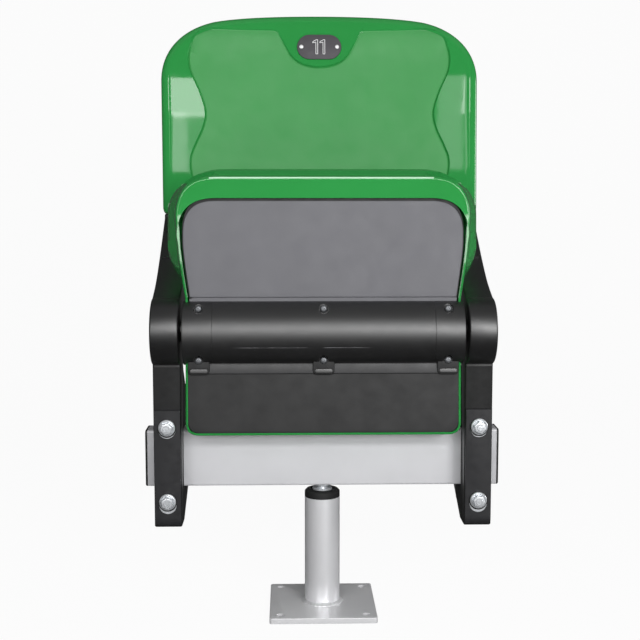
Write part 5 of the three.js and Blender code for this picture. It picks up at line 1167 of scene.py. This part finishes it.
# %% Flanged nuts
BEAM_Z, CLAMP_RISE, BOLT_X, NUT_Y = 222, 51.5, 214, -63.5
spots = [(side * BOLT_X, z) for side in (-1, 1) for z in (BEAM_Z - CLAMP_RISE, BEAM_Z + CLAMP_RISE)]
FLANGE = [(5.2, 0), (11.0, 0), (11.4, 0.4), (11.4, 1.9), (11.0, 2.5), (9.9, 3.0), (9.3, 2.6), (9.0, 1.2),
          (5.2, 1.2)]
# From the nut's middle to a corner, for a hexagon that is 14.6 mm across its flats.
NUT_CORNER = 14.6 / math.sqrt(3)
hexagon = [(NUT_CORNER * math.cos(math.pi / 3 * k), NUT_CORNER * math.sin(math.pi / 3 * k)) for k in range(6)]
nut = master("nut_master", turned(FLANGE, 48), slab(hexagon, 1.1, 9.8, 0.9))
stamped("clamp_nuts", [(x, NUT_Y, z) for x, z in spots], nut, math.pi / 2, 11, zinc, "swivel_head",
        [f"clamp_nut_{label}" for label in CORNERS])
bpy.data.objects.remove(nut)

# %% Hanging washers and painted shadow rings
# One washer hangs behind each upper nut and two behind each lower one, lower than the bolt by these amounts.
UPPER_SAGS, LOWER_SAGS, SHADOW_RING_SAG = (3.2,), (5.3, 3.4), 1.3
WASHER_Y, WASHER_STEP, SHADOW_RING_Y = -61.05, 0.87, -62.85
WASHER = [(8.6, 0), (11.6, 0), (11.9, 0.25), (11.9, 0.6), (11.6, 0.85), (8.6, 0.85)]
washer = master("washer_master", turned(WASHER, 48))
hung = [(x, WASHER_Y - WASHER_STEP * number, z - sag)
        for x, z in spots for number, sag in enumerate(UPPER_SAGS if z > BEAM_Z else LOWER_SAGS)]
stamped("hanging_washers", hung, washer, math.pi / 2, 7, zinc, "swivel_head", [])
bpy.data.objects.remove(washer)
# A near-black ring behind each nut, a little below it: the nut's shadow on the washers, painted.
SHADOW_RING = [(5.4, 0), (12.0, 0), (12.3, 0.2), (12.3, 0.4), (12.0, 0.6), (5.4, 0.6)]
shadow_ring = master("seal_master", turned(SHADOW_RING, 48))
stamped("nut_seals", [(x, SHADOW_RING_Y, z - SHADOW_RING_SAG) for x, z in spots], shadow_ring, math.pi / 2, 7, shadow_black,
        "swivel_head", [])
bpy.data.objects.remove(shadow_ring)

# %% Clamp bolts
BOLT = [(0, -5), (6, -4.7), (10.6, -2.8), (12, -0.4), (12, 0), (5, 0), (5, 123), (4, 124), (3.6, 124),
        (3.2, 123.2), (0, 123.2)]
BOLT_HEAD_Y = 50
bolt = master("bolt_master", turned(BOLT, 48))
stamped("clamp_bolts", [(x, BOLT_HEAD_Y, z) for x, z in spots], bolt, math.pi / 2, 2, zinc, "swivel_head",
        [f"clamp_bolt_{label}" for label in CORNERS])
bpy.data.objects.remove(bolt)

# %% [markdown]
# ## Side brackets
# Each bracket is one tall moulding: a foot that hooks over the beam, a round
# hub for the hinge and an arm that reaches back to the backrest. The profile
# is flat and the part is as wide as a hand, so the outline is lofted across
# with rounded edges. The arm is cored from the inside between diagonal ribs.

# %% Bracket outline
FOOT_Z, TOE_Y, REAR_Y, REAR_FOOT_Z, POST_FRONT, HUB_RADIUS, NECK_DROP = 133, -20, 50, 166, -56, 46, 9
HOOK = [(20, 181.7), (-20.3, 181.7), (-20.3, 262.3), (20, 262.3)]
NECK = (-6, 346)
ARM_BELOW = [(48, 433), (104, 473), (156.75, 517)]
ARM_END = [(171, 546), (171, 562), (158, 562)]
ARM_ABOVE = [(131, 556), (97, 532), (53, 501.5), (0, 470)]


def foot_level(y):
    """The height of the sloping foot at a depth."""
    return FOOT_Z + (y - TOE_Y) * (REAR_FOOT_Z - FOOT_Z) / (REAR_Y - TOE_Y)


def bracket_outline():
    ahead = AXIS_Y - POST_FRONT
    drop = math.sqrt(HUB_RADIUS ** 2 - ahead ** 2)
    rear = math.sqrt(HUB_RADIUS ** 2 - NECK_DROP ** 2)
    line = [(POST_FRONT, FOOT_Z + 3)]
    line += bezier(line[-1], (POST_FRONT, FOOT_Z), (POST_FRONT + 3, FOOT_Z), steps=6)
    line += [(TOE_Y, FOOT_Z), (20, foot_level(20))] + HOOK + [(20, 323), NECK]
    line += bezier(line[-1], (NECK[0] - HUB_RADIUS / 3, NECK[1] + HUB_RADIUS / 3),
                   (AXIS_Y + rear, AXIS_Z - NECK_DROP), steps=14)
    line += smooth([line[-1]] + ARM_BELOW, 12)
    line += [ARM_END[0]] + bezier(*ARM_END, steps=8)
    line += [(133, 562), ARM_ABOVE[0]]
    line += smooth(ARM_ABOVE + [(AXIS_Y, AXIS_Z + HUB_RADIUS)], 12)
    line += arc(AXIS_Y, AXIS_Z, HUB_RADIUS, math.pi / 2, math.pi + math.atan2(drop, ahead), 48)[1:]
    return line


print("bracket outline points:", len(bracket_outline()))

# %% Core and ribs of an arm
# Each span gives how far from the seat's middle the piece begins and ends.
BRACKET_SPAN, POCKET_SPAN, RIB_SPAN, TONGUE_SPAN = (195, 233), (180, 227), (196, 228), (195, 221)
POCKET = [(28, 448), (60, 467), (98, 497), (137, 524), (146, 541), (126, 542), (98, 521), (60, 493),
          (24, 471)]
ARM_RIBS = [((62, 452), (50, 502)), ((62, 502), (100, 482)), ((118, 494), (102, 538)),
            ((118, 542), (150, 520))]
TONGUE = [on_back(0, depth, rise)[1:] for rise, depth in ((66.5, 3), (66.5, 20), (176, 20), (176, 3))]


def bar(first, second, thick):
    """The outline of a flat bar between two points."""
    length = math.dist(first, second)
    a = (-(second[1] - first[1]) / length * thick / 2, (second[0] - first[0]) / length * thick / 2)
    return [(first[0] - a[0], first[1] - a[1]), (second[0] - a[0], second[1] - a[1]),
            (second[0] + a[0], second[1] + a[1]), (first[0] + a[0], first[1] + a[1])]


def side_slab(name, outline, span, edge, side, finish):
    """A slab that stands on edge on one side of the seat."""
    points, faces = slab(outline, *span, edge, lambda y, z, x: (side * x, y, z))
    return piece(name, points, faces, None, [finish], crease=40)


print("ribs in each arm:", len(ARM_RIBS))

# %% [markdown]
# ### Clamp, strap and cover
# A block behind the beam and a strap in front of the post spread the pull of
# the bolts, and a round cap closes the hub. Each could be a primitive with a
# bevel. As slabs and turned parts they share the bracket's own levels.

# %% Clamp block, strap and hub cover
BLOCK = [(20.3, foot_level(20.3)), (REAR_Y, REAR_FOOT_Z), (REAR_Y, 297), (20.3, 322.7)]
STRAP_SPAN = (196, 232)
STRAP = [(-56, 297.5), (-60, 297.5), (-61, 296.5), (-61, 147.5)]
STRAP += bezier(STRAP[-1], (-61, 135.5), (-56.3, 135.5), steps=8) + [(-56, 135.5)]
CAP_SEAT = [(0, 223), (19.3, 223), (19.3, 240), (0, 240)]
HUB_COVER = [(0, 229), (18.6, 229), (19, 229.4), (19, 232.8), (18.2, 233.8), (12, 234.6), (0, 235)]


def on_hinge(profile, side):
    """A profile turned about the hinge line, on one side of the seat."""
    points, faces = turned(profile, 64)
    place = Matrix.Translation((0, AXIS_Y, AXIS_Z)) @ Matrix.Rotation(side * math.pi / 2, 4, "Y")
    return moved(points, place), faces


print("strap outline points:", len(STRAP))

# %% Both brackets
SIDES = (("left", -1), ("right", 1))
# Below this height, in metres, a bracket takes the etched finish, whose darker colour is painted shade.
ETCHED_AND_SHADED_BELOW = 0.357
for label, side in SIDES:
    bracket = side_slab(f"bracket_{label}", bracket_outline(), BRACKET_SPAN, 2.4, side, glass_nylon)
    pocket = side_slab("pocket", POCKET, POCKET_SPAN, 0.5, side, glass_nylon)
    cap_seat = piece("cap_seat", *on_hinge(CAP_SEAT, side), None, [glass_nylon])
    cut(bracket, pocket, cap_seat)
    soften(bracket, 40)
    bracket.data.materials.append(shaded_foot_nylon)
    for face in bracket.data.polygons:
        face.material_index = 1 if face.center.z < ETCHED_AND_SHADED_BELOW else 0
    dress(bracket, "swivel_head", [f"side_bracket_{label}"])
    for number, (first, second) in enumerate(ARM_RIBS):
        rib = side_slab(f"arm_rib_{label}_{number + 1}", bar(first, second, 4), RIB_SPAN, 0.4, side,
                        glass_nylon)
        dress(rib, "swivel_head")
    tongue = side_slab(f"tongue_{label}", TONGUE, TONGUE_SPAN, 1.2, side, glass_nylon)
    dress(tongue, "swivel_head")
    block = side_slab(f"block_{label}", BLOCK, BRACKET_SPAN, 2.0, side, glass_nylon)
    dress(block, "swivel_head", [f"clamp_block_{label}"])
    strap = side_slab(f"strap_{label}", STRAP, STRAP_SPAN, 0.7, side, strap_coat)
    dress(strap, "swivel_head", [f"clamp_strap_{label}"])
    cap = piece(f"hub_cover_{label}", *on_hinge(HUB_COVER, side), "swivel_head", [glass_nylon], None,
                [f"hub_cap_{label}"])
    print(label, "bracket faces:", len(bracket.data.polygons))

# %% [markdown]
# ## Beam and pedestal
# The beam is a drawn steel tube with small corner radii, closed by rubber
# caps. The column is a round tube, welded to a square plate and topped by the
# nylon collar of the swivel. Bevelled boxes and cylinders would come close.
# Lofts and turned profiles also give the tube's ends and the collar's lips.

# %% Beam and end caps
BEAM_DEEP, BEAM_HIGH, BEAM_CORNER = 40, 80, 3.5
# Places along the beam and along a cap, with how far the outline is drawn in there.
BEAM_STATIONS = [(-246, 0.3), (-245.7, 0), (245.7, 0), (246, 0.3)]
CAP_STATIONS = [(246.05, 0), (247.4, 0), (248.2, 0.35), (248.8, 1.1), (249, 2.0)]


def beam_ring(x, shrink):
    """The beam's outline at one place along it, drawn in by a little."""
    outline = rounded(BEAM_DEEP - 2 * shrink, BEAM_HIGH - 2 * shrink, BEAM_CORNER - shrink * 0.5, 0, BEAM_Z)
    return [(x, y, z) for y, z in outline]


points, faces = loft([beam_ring(x, shrink) for x, shrink in BEAM_STATIONS], "flat", "flat")
beam = piece("cross_beam", points, faces, "swivel_head", [silver_coat], None, ["beam"])
for label, side in SIDES:
    points, faces = loft([beam_ring(side * x, shrink) for x, shrink in CAP_STATIONS], "flat", "flat")
    cap = piece(f"beam_cap_{label}", points, faces, "swivel_head", [cap_rubber], None,
                [f"beam_end_cap_{label}"])
print("beam faces:", len(beam.data.polygons))

# %% [markdown]
# ### Base plate
# A square steel plate stands on the floor, with a hole for an anchor in each
# corner. It could be a box with a bevel and four booleans. The slab already
# has its broken edges, so only the holes are cut, each with a small chamfer.

# %% Base plate
PLATE_WIDE, PLATE_THICK, PLATE_CORNER, PLATE_EDGE, HOLE_AT = 150, 8, 4, 0.8, 60
HOLE = [(0, -2), (5, -2), (5, 7.3), (6, 8.3), (6, 12), (0, 12)]
points, faces = slab(rounded(PLATE_WIDE, PLATE_WIDE, PLATE_CORNER), 0, PLATE_THICK, PLATE_EDGE)
plate = piece("floor_plate", points, faces, None, [lit_plate_coat])
tools = []
for x in (-HOLE_AT, HOLE_AT):
    for y in (-HOLE_AT, HOLE_AT):
        points, faces = turned(HOLE, 48)
        tools.append(piece("hole", moved(points, Matrix.Translation((x, y, 0))), faces, None, [lit_plate_coat]))
cut(plate, *tools)
soften(plate, 30)
dress(plate, "pedestal", ["base_plate"])
print("plate faces:", len(plate.data.polygons))

# %% [markdown]
# ### Column
# The tube is welded to the plate all round. A weld laid by hand is a bead of
# small ripples. A bump texture would leave its outline round, so two waves
# push the bead's own points in and out. The tube above it has many rings,
# which keeps its shading even.

# %% Column
BEAD_FROM = 25.3
BEAD = [(22, 7.9), (29, 7.9), (28.9, 9.0), (28.0, 10.1), (26.6, 11.0), (25.4, 12.0)]
TUBE = [(25, height) for height in (12.4, 13.4, 15, 28, 50, 75, 100, 125, 148, 159, 160.6, 161.4)]
TUBE_INSIDE = [(24.5, 162), (22, 162), (22, 120), (22, 60)]


def rippled(x, y, height):
    """A point of the tube, pushed in or out a little where it lies on the weld bead."""
    turn, radius = math.atan2(y, x), math.hypot(x, y)
    if radius <= BEAD_FROM:
        return (x, y, height)
    wave = 1 + (0.35 * math.sin(31 * turn) + 0.45 * math.sin(9 * turn + 1)) / radius
    return (x * wave, y * wave, height)


points, faces = turned(BEAD + TUBE + TUBE_INSIDE, 128)
tube = piece("column_tube", [rippled(*point) for point in points], faces, "pedestal", [lit_column_coat], None,
             ["column"])
print("column faces:", len(tube.data.polygons))

# %% [markdown]
# ### Swivel
# A nylon collar lines the column's top and carries a thrust washer, on which
# the spindle's flange turns. Only thin rims of them show below the beam, yet
# all three are whole turned parts, so that they look right from any side.

# %% Collar, washer and pin
COLLAR = [(8.4, 138), (21.7, 138), (21.7, 162.05), (24.6, 162.05), (25, 162.5), (25, 169.6), (24.6, 170.4),
          (22.4, 172.7), (21.6, 173), (17.2, 173), (16.6, 172.6), (16.2, 171.6), (14.6, 171.6), (14.3, 172),
          (8.4, 172)]
points, faces = turned(COLLAR, 128)
collar = piece("collar", points, faces, "pedestal", [shaded_foot_nylon], None, ["swivel_collar"])
THRUST = [(8.4, 172.05), (13.6, 172.05), (14, 172.4), (14, 174.6), (13.6, 175), (8.4, 175)]
points, faces = turned(THRUST, 96)
washer = piece("washer", points, faces, "pedestal", [zinc], None, ["thrust_washer"])
PIN = [(0, 86), (7, 86), (8, 87), (8, 175.05), (8.6, 175.3), (8.6, 178.6), (9, 179), (13, 179), (13.5, 179.5),
       (13.5, 181.95), (8, 181.95), (8, 200), (7, 201), (0, 201)]
points, faces = turned(PIN, 96)
pin = piece("swivel_pin", points, faces, "swivel_head", [zinc], None, ["spindle"])
print("swivel pieces:", collar.name, washer.name, pin.name)

# %% [markdown]
# ## Seat number
# A dark anodised plate sits in the dip at the top of the back, held by two
# rivets. A text object would fill the figures. Here only their outlines are
# painted, so thin strips follow the shape of each.

# %% Number plate
TAG_RISE, TAG_THICK, TAG_PROUD = 341, 2, 0.8
TAG_Y = back_face(0, TAG_RISE) - TAG_PROUD
points, faces = slab(rounded(67, 38, 18.9, 0, TAG_RISE), TAG_Y, TAG_Y - TAG_THICK, 0.5,
                     lambda a, b, level: on_back(a, level, b))
tag = piece("number_tag", points, faces, "swivel_head", [tag_coat], None, ["number_plate"])
print("number plate on the back at rise", TAG_RISE)

# %% Figures
ONE = [(1.8, -11), (4.6, -11), (4.6, 11), (2.6, 11), (-2.4, 8.2), (-3.2, 6.2), (-0.4, 6.6), (1.8, 7.6)]
STRIP_WIDE, STRIP_NEAR, STRIP_FAR = 0.75, TAG_Y - 1.8, TAG_Y - 2.15


def strip(line, width, near, far):
    """A closed path drawn as a thin raised strip."""
    outer, inner = inset(line, -width / 2), inset(line, width / 2)
    section = ((outer, near), (outer, far), (inner, far), (inner, near), (outer, near))
    return loft([[on_back(a, level, b) for a, b in path] for path, level in section], None, None)


for number, shift in enumerate((-6.9, 3.9)):
    figure = divided([(x + shift, z + TAG_RISE) for x, z in ONE], 1.2)
    points, faces = strip(figure, STRIP_WIDE, STRIP_NEAR, STRIP_FAR)
    mark = piece(f"figure_{number + 1}", points, faces, "swivel_head", [white_fill])
print("figure faces:", len(mark.data.polygons))

# %% Rivets
RIVET = [(0, -4), (2, -4), (2, 0), (3.1, 0), (3.0, 0.5), (2.3, 1.1), (1.2, 1.4), (0.8, 1.4), (0.7, 1.0),
         (0, 1.0)]
RIVET_X = 27
rivet = master("rivet_master", turned(RIVET, 32))
stamped("tag_rivets", [on_back(side * RIVET_X, TAG_Y - TAG_THICK, TAG_RISE) for side in (-1, 1)], rivet,
        math.pi / 2 - RECLINE, 4, rivet_aluminium, "swivel_head",
        ["plate_rivet_left", "plate_rivet_right"])
bpy.data.objects.remove(rivet)

# %% [markdown]
# ## Pieces that stay as the CAD drew them
# What is hidden inside could be dressed too, but nobody sees it. It keeps its
# CAD shape and gets its real finish.

# %% Finishes for the hidden pieces
HIDDEN = {
    "lower_bush": glass_nylon,
    "spindle_circlip": spring_steel,
    "spindle_nut": zinc,
    "hinge_shaft": zinc,
    "shaft_bolt_left": zinc,
    "shaft_bolt_right": zinc,
    "spring_collar_left": spring_steel,
    "spring_collar_right": spring_steel,
    "hinge_bush_left": glass_nylon,
    "hinge_bush_right": glass_nylon,
    "torsion_spring_left": spring_steel,
    "torsion_spring_right": spring_steel,
}
for node, finish in HIDDEN.items():
    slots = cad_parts[node].data.materials
    if slots:
        slots[0] = finish
    else:
        slots.append(finish)
left = [name for name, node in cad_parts.items() if not node.hide_render and name not in HIDDEN]
print("nodes with no finish of their own:", left)
